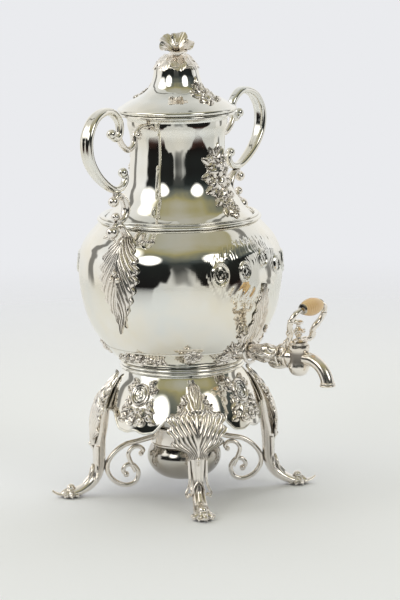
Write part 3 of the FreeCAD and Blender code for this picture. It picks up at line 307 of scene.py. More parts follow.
def mark_recesses(bm, depth):
    """Store how far each spot lies below its neighbours; the silver darkens these spots with oxide and
    painted shade.
    """
    bmesh.ops.recalc_face_normals(bm, faces=bm.faces)
    layer = bm.verts.layers.float.new("recess")
    bm.normal_update()
    hollow = {}
    for vert in bm.verts:
        ring = [edge.other_vert(vert).co for edge in vert.link_edges]
        middle = sum(ring, Vector()) / len(ring)
        hollow[vert] = (middle - vert.co).dot(vert.normal) / depth
    for vert in bm.verts:
        ring = [hollow[edge.other_vert(vert)] for edge in vert.link_edges]
        vert[layer] = min(max((hollow[vert] + sum(ring) / len(ring)) * 0.5, 0), 1)


def silver(name, roughness, tones, wave_mm, wave_depth, oxide_and_shade_strength, crevice_mm):
    """Electroplated silver. Its slow waves are the raising hammer's, its tints thin tarnish, and its recesses
    and crevices
    are darkened: partly the oxide the polishing cloth leaves, partly painted shade, the crevices found by
    ambient occlusion."""
    finish, tree = bare_material(name)
    spot = add_node(tree, "ShaderNodeTexCoord")
    tarnish = add_node(tree, "ShaderNodeTexNoise", {"Vector": spot.outputs["Object"], "Scale": 1000 / 70,
                                                    "Detail": 3.0, "Roughness": 0.6})
    tints = add_node(tree, "ShaderNodeValToRGB", {"Fac": tarnish.outputs["Fac"]})
    ramp_stops(tints, list(zip((0.34, 0.5, 0.66), tones)))
    # recesses and crevices are darkened towards a dark brown: partly oxide, partly painted shade
    recess = add_node(tree, "ShaderNodeAttribute", attribute_name="recess")
    # painted shade: ambient occlusion darkens the crevices where shade falls
    hidden = add_node(tree, "ShaderNodeAmbientOcclusion", {"Distance": crevice_mm * MM}, samples=6)
    crevice_oxide_and_shade = add_node(tree, "ShaderNodeMapRange", {"Value": hidden.outputs["AO"], "From Min": 0.80,
                                                    "From Max": 0.28}, interpolation_type="SMOOTHSTEP")
    oxide_and_shade_share = add_node(tree, "ShaderNodeMath", {0: recess.outputs["Fac"], 1: crevice_oxide_and_shade.outputs["Result"]},
                     operation="MAXIMUM")
    depth = add_node(tree, "ShaderNodeMath", {0: oxide_and_shade_share.outputs["Value"], 1: oxide_and_shade_strength}, operation="MULTIPLY",
                     use_clamp=True)
    # the dark brown is oxide and painted shade in the recesses and crevices
    colour = add_node(tree, "ShaderNodeMix", {"Factor": depth.outputs["Value"], 6: tints.outputs["Color"],
                                              7: linear("#4A4038")}, data_type="RGBA")
    rough = add_node(tree, "ShaderNodeMapRange", {"Value": depth.outputs["Value"], "To Min": roughness,
                                                  "To Max": 0.5})
    waves = add_node(tree, "ShaderNodeTexNoise", {"Vector": spot.outputs["Object"], "Scale": 1000 / wave_mm,
                                                  "Detail": 1.0, "Roughness": 0.4})
    bump = add_node(tree, "ShaderNodeBump", {"Height": waves.outputs["Fac"], "Strength": 1.0,
                                             "Distance": wave_depth * MM})
    metal = add_node(tree, "ShaderNodeBsdfPrincipled", {
        "Base Color": colour.outputs[2], "Metallic": 1.0, "Roughness": rough.outputs["Result"],
        "Normal": bump.outputs["Normal"]})
    add_node(tree, "ShaderNodeOutputMaterial", {"Surface": metal.outputs["BSDF"]})
    return finish


def piece(name, bm, body, finish, nodes=(), crease=40):
    """Finish a mesh worked in millimetres as an object of the frame."""
    bmesh.ops.scale(bm, vec=(MM, MM, MM), verts=bm.verts)
    mesh = bpy.data.meshes.new(name)
    bm.to_mesh(mesh)
    bm.free()
    mesh.shade_smooth()
    mesh.set_sharp_from_angle(angle=math.radians(crease))
    mesh.materials.append(finish)
    thing = bpy.data.objects.new(name, mesh)
    bpy.context.scene.collection.objects.link(thing)
    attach(thing, body)
    if nodes:
        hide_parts(*nodes)
    return thing


burnished = silver("burnished_silver_plate", 0.05, ("#F1EBDC", "#F2EFE7", "#ECEDEA"), 60, 0.22, 0.6, 1.5)
cast = silver("cast_silver_plate", 0.19, ("#F6EDE1", "#F8F2EA", "#F1ECE6"), 7, 0.12, 0.7, 2.4)

belly_line = flowing([(58, 138.2), (64.5, 142.6), (74, 152), (82.5, 162.5), (88.5, 172), (95.2, 187),
                      (99.3, 203), (101.4, 217), (102, 231), (99.5, 252), (94.8, 262.5), (87, 272),
                      (78.5, 281), (74, 284)], 2.1)
BOSSES = [(-31, 238.5, 8.4, 11.2), (-15, 239.5, 6.6, 9.0), (0, 249, 5.8, 8.4), (15, 239.5, 6.6, 9.0),
          (31, 238.5, 8.4, 11.2)]


def oval_boss(across, up, half_width, half_height):
    """A boss's height: an outer roll, a dish, an inner roll and a hatched button."""
    out = math.hypot(across / half_width, up / half_height)
    if out > 1.9:
        return 0
    roll = 1.7 * math.exp(-((out - 0.92) / 0.12) ** 2) + 0.7 * math.exp(-((out - 0.56) / 0.09) ** 2)
    button = 0.9 * math.exp(-(out / 0.42) ** 2) * (0.75 + 0.25 * math.cos(across * 3.4))
    swell = 0.5 * math.exp(-(out / 1.25) ** 4)
    return roll + button + swell


def cartouche(turn, height):
    """The chased ground and its bosses, by degrees from the middle of the front or back."""
    across = turn * MM_PER_DEGREE
    field = math.hypot(across / 72, (height - 240) / (32 if height > 240 else 38))
    if field > 1.15:
        return 0
    ragged = 0.05 * math.sin(across * 0.9 + height * 0.3) + 0.04 * math.sin(across * 2.1 - height * 0.7)
    inside = 1 - step_up(field + ragged, 0.80, 0.96)
    fan = math.atan2(height - 205, across)
    reach = math.hypot(across, height - 205)
    hatch = (0.09 * math.cos(fan * 88 + math.sin(reach * 0.31) * 2.6 + math.sin(across * 0.4) * 2)
             * step_up(height, 232, 250))
    waves = 0.24 * math.cos(reach * 0.62 + math.cos(fan * 5) * 1.3) * (1 - step_up(height, 216, 232))
    bosses = sum(oval_boss((turn - at) * MM_PER_DEGREE, height - z, w, h) for at, z, w, h in BOSSES)
    quiet = min(1, bosses * 1.2)
    brow = 0.7 * math.exp(-((height - 257 + abs(across) * 0.12) / 3.0) ** 2)
    brow *= 1 - step_up(abs(across), 24, 44)
    return inside * (0.35 + (hatch + waves + brow) * (1 - quiet)) + bosses


def make_belly():
    foot = [Vector((SEAT_RADIUS, 133.5)), Vector((SEAT_RADIUS, 135.8))]
    bm = lathe(walled(foot + belly_line, SHEET), 288)
    field = []
    for face in bm.faces:
        spot = face.calc_center_median()
        turn = turn_of(spot)
        aside = min(abs(turn), 180 - abs(turn))
        if aside < 47 and 196 < spot.z < 275 and face.normal.dot(Vector((spot.x, spot.y, 0))) > 0:
            field.append(face)
    edges = list({edge for face in field for edge in face.edges})
    bmesh.ops.subdivide_edges(bm, edges=edges, cuts=2, use_grid_fill=True)
    bm.normal_update()
    moves = []
    for vert in bm.verts:
        outward = vert.normal.dot(Vector((vert.co.x, vert.co.y, 0)))
        turn = turn_of(vert.co)
        aside = turn if abs(turn) < 90 else turn - math.copysign(180, turn)
        if outward > 0 and 190 < vert.co.z < 280 and abs(aside) < 50:
            moves.append((vert, vert.normal * cartouche(aside, vert.co.z)))
    for vert, move in moves:
        vert.co += move
        vert.co.y = min(vert.co.y, BACK_LIMIT)
    mark_recesses(bm, 0.2)
    piece("belly_shell", bm, "root", burnished, ["belly"])


make_belly()

# ---------------------------------------------------------------- border band and foot ring
# A die-struck strip soldered round the foot of the belly: sprays of flowers at the quarters, a rose
# over each leg. The foot ring is two rolled wires that hide the joint with the stand.

QUARTERS = (0, 90, 180, -90)
DIAGONALS = {"front_left": -45, "front_right": 45, "back_right": 135, "back_left": -135}


def seated(line, azimuth, base):
    """Places on a turned surface: mm across and up it from a height, and mm proud of it."""
    lengths = [0]
    for low, high in zip(line, line[1:]):
        lengths.append(lengths[-1] + (high - low).length)
    start = min(range(len(line)), key=lambda index: abs(line[index].y - base))
    start_length = lengths[start] + (base - line[start].y)

    def place(across, up, proud=0):
        want = start_length + up
        index = min(max(bisect_left(lengths, want), 1), len(line) - 1)
        share = (want - lengths[index - 1]) / (lengths[index] - lengths[index - 1])
        spot = line[index - 1] + (line[index] - line[index - 1]) * share
        way = (line[min(index + 1, len(line) - 1)] - line[max(index - 2, 0)]).normalized()
        turn = math.radians(azimuth) + across / spot.x
        radius = spot.x + way.y * proud
        return Vector((math.sin(turn) * radius, -math.cos(turn) * radius, spot.y - way.x * proud))

    return place


def blossom(bm, place, across, up, radius, petals=5, turn=0.0, lift=0.5):
    """A small cast flower: lobed petals dished round a bead."""
    made = bmesh.ops.create_icosphere(bm, subdivisions=3, radius=1)["verts"]
    for vert in made:
        x, y, z = vert.co
        rim = math.hypot(x, y)
        angle = math.atan2(y, x)
        lobe = abs(math.cos(petals * (angle - turn) / 2)) ** 0.6
        spread = radius * (0.70 + 0.30 * lobe * rim)
        bead = 0.55 * math.exp(-(rim / 0.24) ** 2)
        petal = (0.35 + 0.65 * lobe) * math.sin(math.pi * min(rim, 1)) ** 0.8
        proud = radius * lift * (bead + 0.75 * petal + 0.35 * (1 - rim)) if z > 0 else -0.5
        vert.co = place(across + x * spread, up + y * spread, proud)


def leaflet(bm, place, across, up, length, width, turn, lift=0.32):
    """A small cast leaf with a folded midrib and notched edges, its foot at the given spot."""
    made = bmesh.ops.create_icosphere(bm, subdivisions=3, radius=1)["verts"]
    heading = math.radians(turn)
    for vert in made:
        x, y, z = vert.co
        along = (x + 1) / 2 * length
        notch = 1 - 0.22 * math.cos((x - 0.45 * abs(y)) * 11) ** 2 * abs(y)
        side = y * width / 2 * (1 - 0.5 * x) * notch
        fold = 1 - 0.75 * math.exp(-(y / 0.16) ** 2)
        veins = 1 + 0.35 * math.cos((x - 0.45 * abs(y)) * 22)
        proud = width * lift * z ** 0.5 * fold * veins if z > 0 else -0.5
        vert.co = place(across + along * math.cos(heading) - side * math.sin(heading),
                        up + along * math.sin(heading) + side * math.cos(heading), proud)


def make_border_band():
    line = flowing([(63.6, 141.6), (68.2, 145.2), (73.6, 151.2), (77.8, 156.2)], 1.1)
    bead = [Vector((r, z)) for r, z in ((61.6, 140.4), (63.4, 139.9), (64.6, 140.6), (64.4, 141.8))]
    edge = [Vector((r, z)) for r, z in ((78.6, 156.4), (78.9, 157.5), (77.6, 157.6), (76.6, 156.6))]
    bm = lathe(bead + [point + Vector((0.25, -0.25)) for point in line] + edge + [bead[0]], 288)
    piece("border_band", bm, "root", burnished, ["floral_band"])

    bm = bmesh.new()
    drops = random.Random(11)
    line += flowing([(77.8, 156.2), (83.0, 162.7), (88.8, 172)], 1.1)[1:]
    for quarter in QUARTERS:
        place = seated(line, quarter, 149)
        for index in range(-9, 10):
            share = index / 9
            across = share * 26
            if quarter == 0 and abs(index) < 4:
                continue
            up = math.sin(index * 2.1) * 3.4 * (1 - abs(share) ** 3)
            size = 3.5 - 1.2 * abs(share) + drops.uniform(-0.3, 0.3)
            if index % 2:
                leaflet(bm, place, across, up, size * 2.5, size * 1.9, drops.uniform(20, 160), 0.5)
                leaflet(bm, place, across, up, size * 2.3, size * 1.8, drops.uniform(200, 340), 0.5)
            else:
                blossom(bm, place, across, up + 1, size * 1.25, 5 + index % 3, drops.uniform(0, 6), 0.9)
    for azimuth in DIAGONALS.values():
        place = seated(line, azimuth, 154.5)
        for turn in range(0, 360, 45):
            reach = Vector((math.cos(math.radians(turn)), math.sin(math.radians(turn))))
            blossom(bm, place, reach.x * 6.8, reach.y * 6.4, 3.4, 5, turn, 0.7)
        blossom(bm, place, 0, 0, 5.0, 6, 0.3, 0.8)
    mark_recesses(bm, 0.3)
    piece("border_flowers", bm, "root", cast)


def make_foot_ring():
    lower = flowing([(58.2, 131.0), (61.6, 131.1), (63.2, 133.0), (61.9, 134.9), (60.9, 135.2)], 0.5)
    upper = flowing([(60.9, 135.2), (62.3, 136.0), (61.6, 137.8), (59.4, 138.4), (58.2, 138.1)], 0.5)
    bm = lathe(lower + upper[1:] + [lower[0]], 240)
    piece("foot_ring_wires", bm, "root", burnished, ["foot_ring"], crease=60)


make_border_band()
make_foot_ring()

# ---------------------------------------------------------------- neck
# Spun and seamed, soft soldered into the shoulder under a half-round ring; a moulded wire stiffens
# its mouth. A cast bouquet is soldered on the front and on the back.

NECK_AZIMUTHS = {"front": 0, "back": 180}
neck_line = flowing([(74, 284), (66.6, 290.8), (60.3, 300), (55.2, 308), (51.7, 316), (49.4, 326),
                     (48.2, 338), (47.1, 350), (47, 357), (47.9, 367), (50, 376), (50, 381.5)], 2.0)
BOUQUET_BLOOMS = [(-3, 44, 8.0, 6), (9, 50, 5.2, 5), (-10, 56, 4.4, 5), (5, 33, 6.0, 5), (-9, 31, 5.2, 5),
                  (1, 20, 5.6, 6), (9, 22, 3.8, 5), (-7, 13, 4.6, 5), (6, 10, 4.8, 5), (0, 3, 4.0, 5),
                  (1, 60, 3.4, 5), (13, 40, 3.0, 5), (-13, 44, 3.0, 5), (12, 31, 2.4, 5), (-13, 22, 2.8, 5)]
BOUQUET_LEAVES = [(4, 54, 15, 7, 62), (-5, 56, 14, 6, 112), (10, 52, 13, 6, 28), (-10, 52, 12, 6, 150),
                  (12, 44, 13, 7, 5), (-11, 40, 12, 6.5, 190), (10, 35, 14, 7, -22), (-10, 28, 13, 6.5, 205),
                  (8, 22, 13, 6.5, -35), (-8, 16, 12, 6, 222), (6, 8, 12, 6, -58), (-5, 6, 12, 6, 240),
                  (0, 2, 11, 5.5, -90), (14, 28, 10, 5, 20), (-13, 34, 9, 5, 140), (2, 62, 10, 4.5, 85)]


def bouquet(bm, place, blooms, leaves):
    """Leaves first, then smaller leaves between them, then flowers over their feet."""
    for across, up, length, width, turn in leaves:
        leaflet(bm, place, across, up, length, width * 1.45, turn, 0.26)
        leaflet(bm, place, across * 0.7, up - 2, length * 0.8, width * 1.3, turn + 34, 0.34)
    for index, (across, up, radius, petals) in enumerate(blooms):
        blossom(bm, place, across, up, radius * 1.22, petals, index * 0.7, 0.6)


def make_neck():
    bm = lathe(walled(neck_line, SHEET), 288)
    piece("neck_wall", bm, "root", burnished, ["neck"])
    ring = flowing([(78.8, 280.7), (81.4, 280.9), (82.4, 282.6), (81.2, 284.3), (79.4, 284.6)], 0.6)
    bead = flowing([(79.4, 284.6), (79.6, 286.0), (78.2, 286.9), (76.0, 286.6)], 0.6)
    bm = lathe(ring + bead[1:] + [Vector((74.0, 285.2)), Vector((74.0, 282.8)), ring[0]], 288)
    piece("shoulder_wire", bm, "root", burnished, ["shoulder_ring"], crease=60)
    cove = flowing([(50.4, 381.2), (51.4, 383.4), (54.0, 384.9), (55.8, 385.0)], 0.6)
    roll = flowing([(55.8, 385.0), (57.6, 385.6), (57.7, 387.6), (56.4, 388.6)], 0.5)
    bm = lathe(cove + roll[1:] + [Vector((48.6, 388.7)), Vector((48.6, 381.2)), cove[0]], 288)
    piece("mouth_wire", bm, "root", burnished, ["neck_rim"], crease=60)
    bm = bmesh.new()
    for azimuth in NECK_AZIMUTHS.values():
        bouquet(bm, seated(neck_line, azimuth, 292), BOUQUET_BLOOMS, BOUQUET_LEAVES)
    mark_recesses(bm, 0.3)
    piece("neck_bouquets", bm, "root", cast, ["neck_sprays"])


make_neck()

# ---------------------------------------------------------------- skirt
# The stand's apron, spun and pierced to a scalloped edge with a rolled lip, burnished between its
# ornaments. Each side carries a cast cartouche: an oval medallion over a shell between scrolls.

skirt_line = flowing([(83, 76), (79.8, 90), (74.3, 105), (67.5, 118.5), (60.6, 128.6), (58, 133.5)], 1.6)
SKIRT_TOP = 133.5
SKIRT_LOW = 76.0
ORNAMENT_LOW = 72.5         # no cast ornament hangs below this


upright = Vector((0, 0, 1))


def out_at(azimuth, radius, height):
    """A spot by degrees round the axis from the spigot's side, radius and height."""
    turn = math.radians(azimuth)
    return Vector((math.sin(turn) * radius, -math.cos(turn) * radius, height))


def skirt_radius(height):
    spot = min(range(len(skirt_line) - 1), key=lambda at: abs(skirt_line[at].y - height))
    near, far = skirt_line[spot], skirt_line[spot + 1]
    return near.x + (far.x - near.x) * (height - near.y) / (far.y - near.y)


def hem(turn):
    """The apron's lower edge, by degrees round the axis: low under a cartouche, arched by a leg."""
    aside = abs((turn + 45) % 90 - 45)
    low = 79.6 - 1.2 * (1 - math.cos(aside * 0.42))
    return low + 14.6 * step_up(aside, 14, 25) - 1.0 * math.exp(-((aside - 14) / 3.5) ** 2)


def limb(bm, line, size, flat, segments=14, shape=None):
    """A drawn or cast bar along a line. Its size is a radius, or its half width along flat and its half
    depth by share of the length; shape swells it by angle and share."""
    last = len(line) - 1
    ring, edges = [], []
    for index, spot in enumerate(line):
        share = index / last
        along = (line[min(index + 1, last)] - line[max(index - 1, 0)]).normalized()
        wide = (flat - along * flat.dot(along)).normalized()
        deep = along.cross(wide)
        half_wide, half_deep = size(share) if callable(size) else (size, size)
        if ring:
            grown = bmesh.ops.extrude_edge_only(bm, edges=edges)["geom"]
            fresh = {part for part in grown if isinstance(part, bmesh.types.BMVert)}
            ring = [next(edge.other_vert(vert) for edge in vert.link_edges if edge.other_vert(vert) in fresh)
                    for vert in ring]
            edges = [part for part in grown if isinstance(part, bmesh.types.BMEdge)
                     and all(vert in fresh for vert in part.verts)]
        else:
            ring = bmesh.ops.create_circle(bm, segments=segments, radius=1)["verts"]
            edges = list({edge for vert in ring for edge in vert.link_edges})
            first = list(ring)
        for place, vert in enumerate(ring):
            angle = math.tau * place / segments
            swell = shape(angle, share) if shape else 1
            around = wide * (half_wide * math.cos(angle)) + deep * (half_deep * math.sin(angle))
            vert.co = spot + around * swell
    for end in (first, ring):
        bmesh.ops.contextual_create(bm, geom=end)


def ball(bm, centre, radius):
    bmesh.ops.create_icosphere(bm, subdivisions=3, radius=radius, matrix=Matrix.Translation(centre))


def curl(bm, place, across, up, reach, start, turns, wire, proud=0.8):
    """A scroll of wire on a surface, wound in to a bead; reach is its first radius in mm."""
    steps = round(abs(turns) * 22)
    line = []
    for index in range(steps + 1):
        share = index / steps
        angle = math.radians(start) + math.tau * turns * share
        radius = reach * (1 - 0.8 * share)
        line.append(place(across + math.cos(angle) * radius, up + math.sin(angle) * radius, proud))
    flat = (place(across, up, 5) - place(across, up, 0)).normalized()
    limb(bm, line, lambda share: (wire * (0.55 + 0.6 * share), wire * (0.55 + 0.6 * share)), flat, 8)
    ball(bm, line[-1], wire * 1.5)


def make_skirt():
    bm = lathe(walled(skirt_line, SHEET), 288)
    for vert in bm.verts:
        low = hem(turn_of(vert.co))
        share = (SKIRT_TOP - vert.co.z) / (SKIRT_TOP - SKIRT_LOW)
        height = SKIRT_TOP - share * (SKIRT_TOP - low)
        radius = skirt_radius(min(max(height, SKIRT_LOW), SKIRT_TOP))
        before = math.hypot(vert.co.x, vert.co.y)
        grow = (before + radius - skirt_radius(vert.co.z)) / before
        vert.co = Vector((vert.co.x * grow, vert.co.y * grow, height))
    lip = []
    for step in range(361):
        height = hem(step % 360)
        lip.append(out_at(step % 360, skirt_radius(height) - 0.5, height))
    limb(bm, lip, 1.3, upright, 8)
    bmesh.ops.recalc_face_normals(bm, faces=bm.faces)
    piece("skirt_apron", bm, "root", burnished, ["skirt"], crease=60)


def make_cartouches():
    bm = bmesh.new()
    medals = bmesh.new()
    for quarter in QUARTERS:
        place = seated(skirt_line, quarter, 113)
        for ring, half_width, half_height, wire in ((0, 9.2, 10.6, 1.5), (1, 6.4, 7.8, 0.9)):
            target = medals if ring else bm
            line = [place(math.cos(math.tau * step / 48) * half_width,
                          math.sin(math.tau * step / 48) * half_height,
                          1.0 + 0.6 * ring) for step in range(49)]
            flat = (place(0, 0, 5) - place(0, 0, 0)).normalized()
            limb(target, line, wire, flat, 8)
        button = bmesh.ops.create_icosphere(medals, subdivisions=4, radius=1)["verts"]
        for vert in button:
            x, y, z = vert.co
            out = math.hypot(x, y)
            rise = 1.6 - 0.9 * out + 0.35 * math.cos(out * 16) if z > 0 else -0.4
            vert.co = place(x * 6.2, y * 7.5, rise)
        for side in (-1, 1):
            base = 0 if side > 0 else 180
            curl(bm, place, side * 11.6, 7.0, 4.2, base + 90 * side, -1.2 * side, 1.2, 1.2)
            curl(bm, place, side * 12.4, -9.0, 4.6, base - 90 * side, 1.3 * side, 1.3, 1.2)
            curl(bm, place, side * 6.2, -27.0, 4.8, base + 60 * side, -1.6 * side, 1.6, 1.4)
            curl(bm, place, side * 15.0, -22.0, 4.4, base + 90 * side, -1.3 * side, 1.3, 1.3)
            leaflet(bm, place, side * 7, 10, 10, 8, 90 - side * 48, 0.26)
            leaflet(bm, place, side * 11, 2, 10, 8, 90 - side * 56, 0.26)
            leaflet(bm, place, side * 10, -12, 12, 9, 90 - side * 118, 0.26)
            leaflet(bm, place, side * 4, -13, 13, 9, 90 - side * 152, 0.26)
            leaflet(bm, place, side * 15, -25, 9, 8, 90 - side * 110, 0.26)
            blossom(bm, place, side * 14.5, -4.5, 2.6, 5, 0.4, 0.6)
            blossom(bm, place, side * 18.5, -27, 2.4, 5, 1.0, 0.6)
        for rib in range(-3, 4):
            leaflet(bm, place, rib * 0.8, -17, 15.5 - abs(rib), 4.6, -90 + rib * 19, 0.42)
        blossom(bm, place, 0, -16.5, 4.0, 6, 0.2, 0.7)
        blossom(bm, place, 0, -29.5, 3.2, 5, 0.2, 0.6)
    for vert in bm.verts:
        vert.co.z = max(vert.co.z, ORNAMENT_LOW)
    mark_recesses(bm, 0.5)
    mark_recesses(medals, 0.16)
    piece("side_cartouches", bm, "root", cast, ["skirt_cartouches"])
    piece("oval_medallions", medals, "root", burnished, ["skirt_medallions"])


make_skirt()
make_cartouches()

# ---------------------------------------------------------------- legs
# Four cast cabriole legs, hollow fluted down the shin between two scrolled straps. A ribbed leaf wraps
# each knee under a narrow crowning leaf with flowers, and a flower lies on the pad foot. Chased after
# casting and soldered under the apron.

knee_seat = flowing([(91.2, 44), (92.4, 50), (93.0, 56), (93.2, 66), (93.0, 76), (91.4, 85), (88.4, 94),
                     (83.0, 103), (75.8, 112.6), (67, 122.5), (60.5, 129.5)], 1.5)
LEG_STATIONS = [(67, 122, 7, 3), (76, 108, 9, 5), (82, 93, 10, 7.5), (85.2, 76, 9.5, 8.2),
                (86.6, 60, 9.2, 7.0), (87.2, 46, 8.2, 6.6), (87.4, 34, 7.0, 6.4), (89.6, 24, 6.6, 6.2),
                (94.6, 15.4, 6.8, 5.8), (103, 9.0, 7.6, 5.0), (112, 5.4, 8.4, 4.4), (121, 3.6, 7.0, 2.6),
                (128, 3.6, 4.6, 1.8), (133, 5.4, 3.0, 1.5),
                (136, 7.6, 1.4, 1.2)]   # radius, height, half width, half depth
FOOT_REACH = 137.6
PAD_AWAY = 117


def eased(values, share):
    """A smooth reading of evenly spaced values."""
    place = min(max(share, 0), 1) * (len(values) - 1)
    index = min(int(place), len(values) - 2)
    t = place - index
    before = values[max(index - 1, 0)]
    after = values[min(index + 2, len(values) - 1)]
    low, high = values[index], values[index + 1]
    return low + 0.5 * t * (high - before + t * (2 * before - 5 * low + 4 * high - after
                                                 + t * (3 * (low - high) + after - before)))


def meridian(azimuth, points, step=2.0):
    """A smooth line in the upright plane through the axis, from (radius, height) points."""
    return [out_at(azimuth, spot.x, spot.y) for spot in flowing(points, step)]


def plane_normal(azimuth):
    turn = math.radians(azimuth)
    return Vector((math.cos(turn), math.sin(turn), 0))


def sheet(bm, across, along):
    """A thin closed sheet from -1 to 1 both ways; its under side lies below zero."""
    top = bmesh.ops.create_grid(bm, x_segments=across, y_segments=along, size=1)["verts"]
    faces = list({face for vert in top for face in vert.link_faces})
    grown = bmesh.ops.solidify(bm, geom=faces, thickness=0.1)["geom"]
    verts = set(top) | {part for part in grown if isinstance(part, bmesh.types.BMVert)}
    middle = sum(vert.co.z for vert in verts) / len(verts)
    for vert in verts:
        vert.co.z = 0 if vert.co.z > middle else -1
    return list(verts)


def palmette(bm, place, length, widths, ribs, fan, bow, lift, relief, grid, notch, flare):
    """A fluted leaf from its foot up: its ribs set off together and run out one by one at its edge."""
    for vert in sheet(bm, *grid):
        side, along, under = vert.co.x, (vert.co.y + 1) / 2, vert.co.z
        reach = abs(side)
        rib = abs(math.cos(math.pi * ribs * (reach ** bow - fan * along)))
        lobe = abs(math.cos(math.pi * ribs * (1 - fan * along)))
        width = eased(widths, along) * (1 - notch * (1 - lobe) * reach ** 3)
        crest = relief * rib ** 0.75 * step_up(reach, 0.02, 0.12)
        midrib = relief * 1.3 * math.exp(-(side * width / 1.6) ** 2)
        body = lift * (1 - reach ** 4) * (0.5 + 0.5 * math.sin(math.pi * along))
        curled = flare * (step_up(reach, 0.72, 1.0) * lobe * step_up(along, 0.2, 0.5)
                          + step_up(along, 0.9, 1.0))
        vert.co = place(side * width, along * length, body + crest + midrib + curled + under)


def make_leg(place_name, azimuth):
    bm = bmesh.new()
    radii, heights, wides, deeps = zip(*LEG_STATIONS)
    spine = list(zip(radii, heights))
    line = meridian(azimuth, spine, 1.6)
    lengths = [0]
    for low, high in zip(spine, spine[1:]):
        lengths.append(lengths[-1] + (Vector(high) - Vector(low)).length)

    def station(share):
        """The place along the list of stations that lies at this share of the leg's length."""
        want = share * lengths[-1]
        index = max(at for at in range(len(lengths) - 1) if lengths[at] <= want + 1e-6)
        return (index + (want - lengths[index]) / (lengths[index + 1] - lengths[index])) / (len(lengths) - 1)

    def size(share):
        return eased(wides, station(share)), eased(deeps, station(share))

    def flutes(angle, share):
        """Three hollow flutes down the shin's outer side, fading at the knee and the foot."""
        strength = 0.10 * step_up(share, 0.36, 0.46) * (1 - step_up(share, 0.66, 0.76))
        return 1 - strength * (0.5 - 0.5 * math.cos(angle * 8))

    flat = plane_normal(azimuth)
    limb(bm, line, size, flat, 32, flutes)
    knee = seated(knee_seat, azimuth, 55)
    palmette(bm, knee, 48, [9.6, 11.5, 18, 26, 29.5, 28.5, 30.5, 32, 31, 27, 18], 6, 0.6, 0.85, 1.6, 1.5,
             (104, 64), 0.2, 1.6)
    crown = seated(knee_seat, azimuth, 94)
    palmette(bm, crown, 41, [12, 14.5, 13.5, 11, 10, 9, 7, 4.6, 1.6], 3, 1.2, 0.75, 2.0, 1.3, (60, 60),
             0.34, 1.4)
    for side in (-1, 1):
        for across, up, radius in ((19, 3, 4.2), (15, 10, 3.8), (12, 17, 3.2), (9.6, 24, 2.6),
                                   (24.5, -3, 3.6), (11, 4, 3.2)):
            blossom(bm, crown, side * across, up, radius, 5, across, 0.8)
        leaflet(bm, crown, side * 15, 0, 12, 8, 90 - side * 62, 0.34)
        leaflet(bm, crown, side * 11, 8, 10, 7, 90 - side * 42, 0.34)
        leaflet(bm, crown, side * 8, 16, 10, 6, 90 - side * 30, 0.34)
        strap = [(8.8, 53, 89.5), (8.4, 42, 89.5), (8.4, 33, 90), (10.2, 26, 90.5), (12.6, 20.4, 91.5),
                 (11.4, 17, 92.5), (9.2, 19, 92.5)]
        run = [out_at(azimuth, r, z) + flat * side * aside for aside, z, r in strap]
        limb(bm, flowing(run, 1.0), lambda share: (1.5 - 0.3 * share, 1.7 - 0.4 * share), upright, 10)
        ball(bm, run[-1], 2.1)
    spur = meridian(azimuth, [(90.5, 48), (93.6, 51.2), (95.2, 55)], 0.8)
    limb(bm, spur, lambda share: (2.6 - 1.2 * share, 2.2 - 0.9 * share), flat, 10)
    ball(bm, spur[-1], 2.7)
    tongue = [(-4.6, 13, 102.6), (-4.6, 19, 98.2), (-4.4, 27, 95.0), (0, 32.6, 94.2), (4.4, 27, 95.0),
              (4.6, 19, 98.2), (4.6, 13, 102.6)]
    run = [out_at(azimuth, r, z) + flat * aside for aside, z, r in tongue]
    limb(bm, flowing(run, 1.0), lambda share: (1.1, 1.3), flat, 10)
    groove = meridian(azimuth, [(95.4, 29), (97.4, 21.5), (103.4, 14.4)], 1.0)
    limb(bm, groove, lambda share: (2.2, 1.7), flat, 12)

    heading = out_at(azimuth, 1, 0)
    centre = heading * PAD_AWAY

    def pad(across, up, proud=0):
        """Places on the foot's domed top, across the leg and out along it."""
        out = math.hypot(across, up)
        return centre + flat * across + heading * up + Vector((0, 0, 6.8 - 0.035 * out * out + proud))

    toe = bmesh.ops.create_icosphere(bm, subdivisions=4, radius=1)["verts"]
    for vert in toe:
        x, y, z = vert.co
        lobe = 1 + 0.12 * math.cos(9 * math.atan2(y, x)) * math.hypot(x, y)
        vert.co = (centre + flat * (x * 11.4 * lobe) + heading * (y * 10.0 * lobe)
                   + upright * (3.6 + 3.8 * z))
    for turn in range(0, 360, 40):
        reach = Vector((math.cos(math.radians(turn)), math.sin(math.radians(turn))))
        leaflet(bm, pad, reach.x * 3.6, reach.y * 3.4, 8.4, 6.4, turn, 0.36)
    blossom(bm, pad, 0, 0, 6.4, 6, 0.2, 0.75)
    ball(bm, centre + Vector((0, 0, 9.6)), 4.4)
    for vert in bm.verts:
        vert.co.z = max(vert.co.z, 0.0)
        across = math.hypot(vert.co.x, vert.co.y)
        if across > FOOT_REACH:
            vert.co.x *= FOOT_REACH / across
            vert.co.y *= FOOT_REACH / across
    mark_recesses(bm, 0.28)
    piece(f"cabriole_leg_{place_name}", bm, "root", cast, [f"leg_{place_name}", f"knee_leaf_{place_name}"])


for place_name, azimuth in DIAGONALS.items():
    make_leg(place_name, azimuth)

# ---------------------------------------------------------------- burner
# A spirit lamp hung between the legs on four scrolled arms: a spun bowl under a plain collar, the
# wick tube dropped in, and a snuffer cap over the wick. Heat has left the bowl greyer.

ARM_LINE = [(32.2, 58), (47, 54.5), (60.5, 51.5), (71.5, 44), (78.6, 33.5), (78.8, 24), (72, 14.2),
            (60.5, 9.4), (51, 12.6), (47.6, 22), (53, 30), (60, 30), (63.2, 24.5), (60, 20.5)]
BRANCH_LINE = [(50.2, 23), (56, 35), (57.4, 42), (52.5, 48), (45.5, 48.5), (42, 44.5), (44.5, 41.5)]
warmed = silver("heat_dulled_silver_plate", 0.12, ("#B9B2A6", "#BFBBB4", "#B2B0AD"), 40, 0.12, 0.8, 2.0)


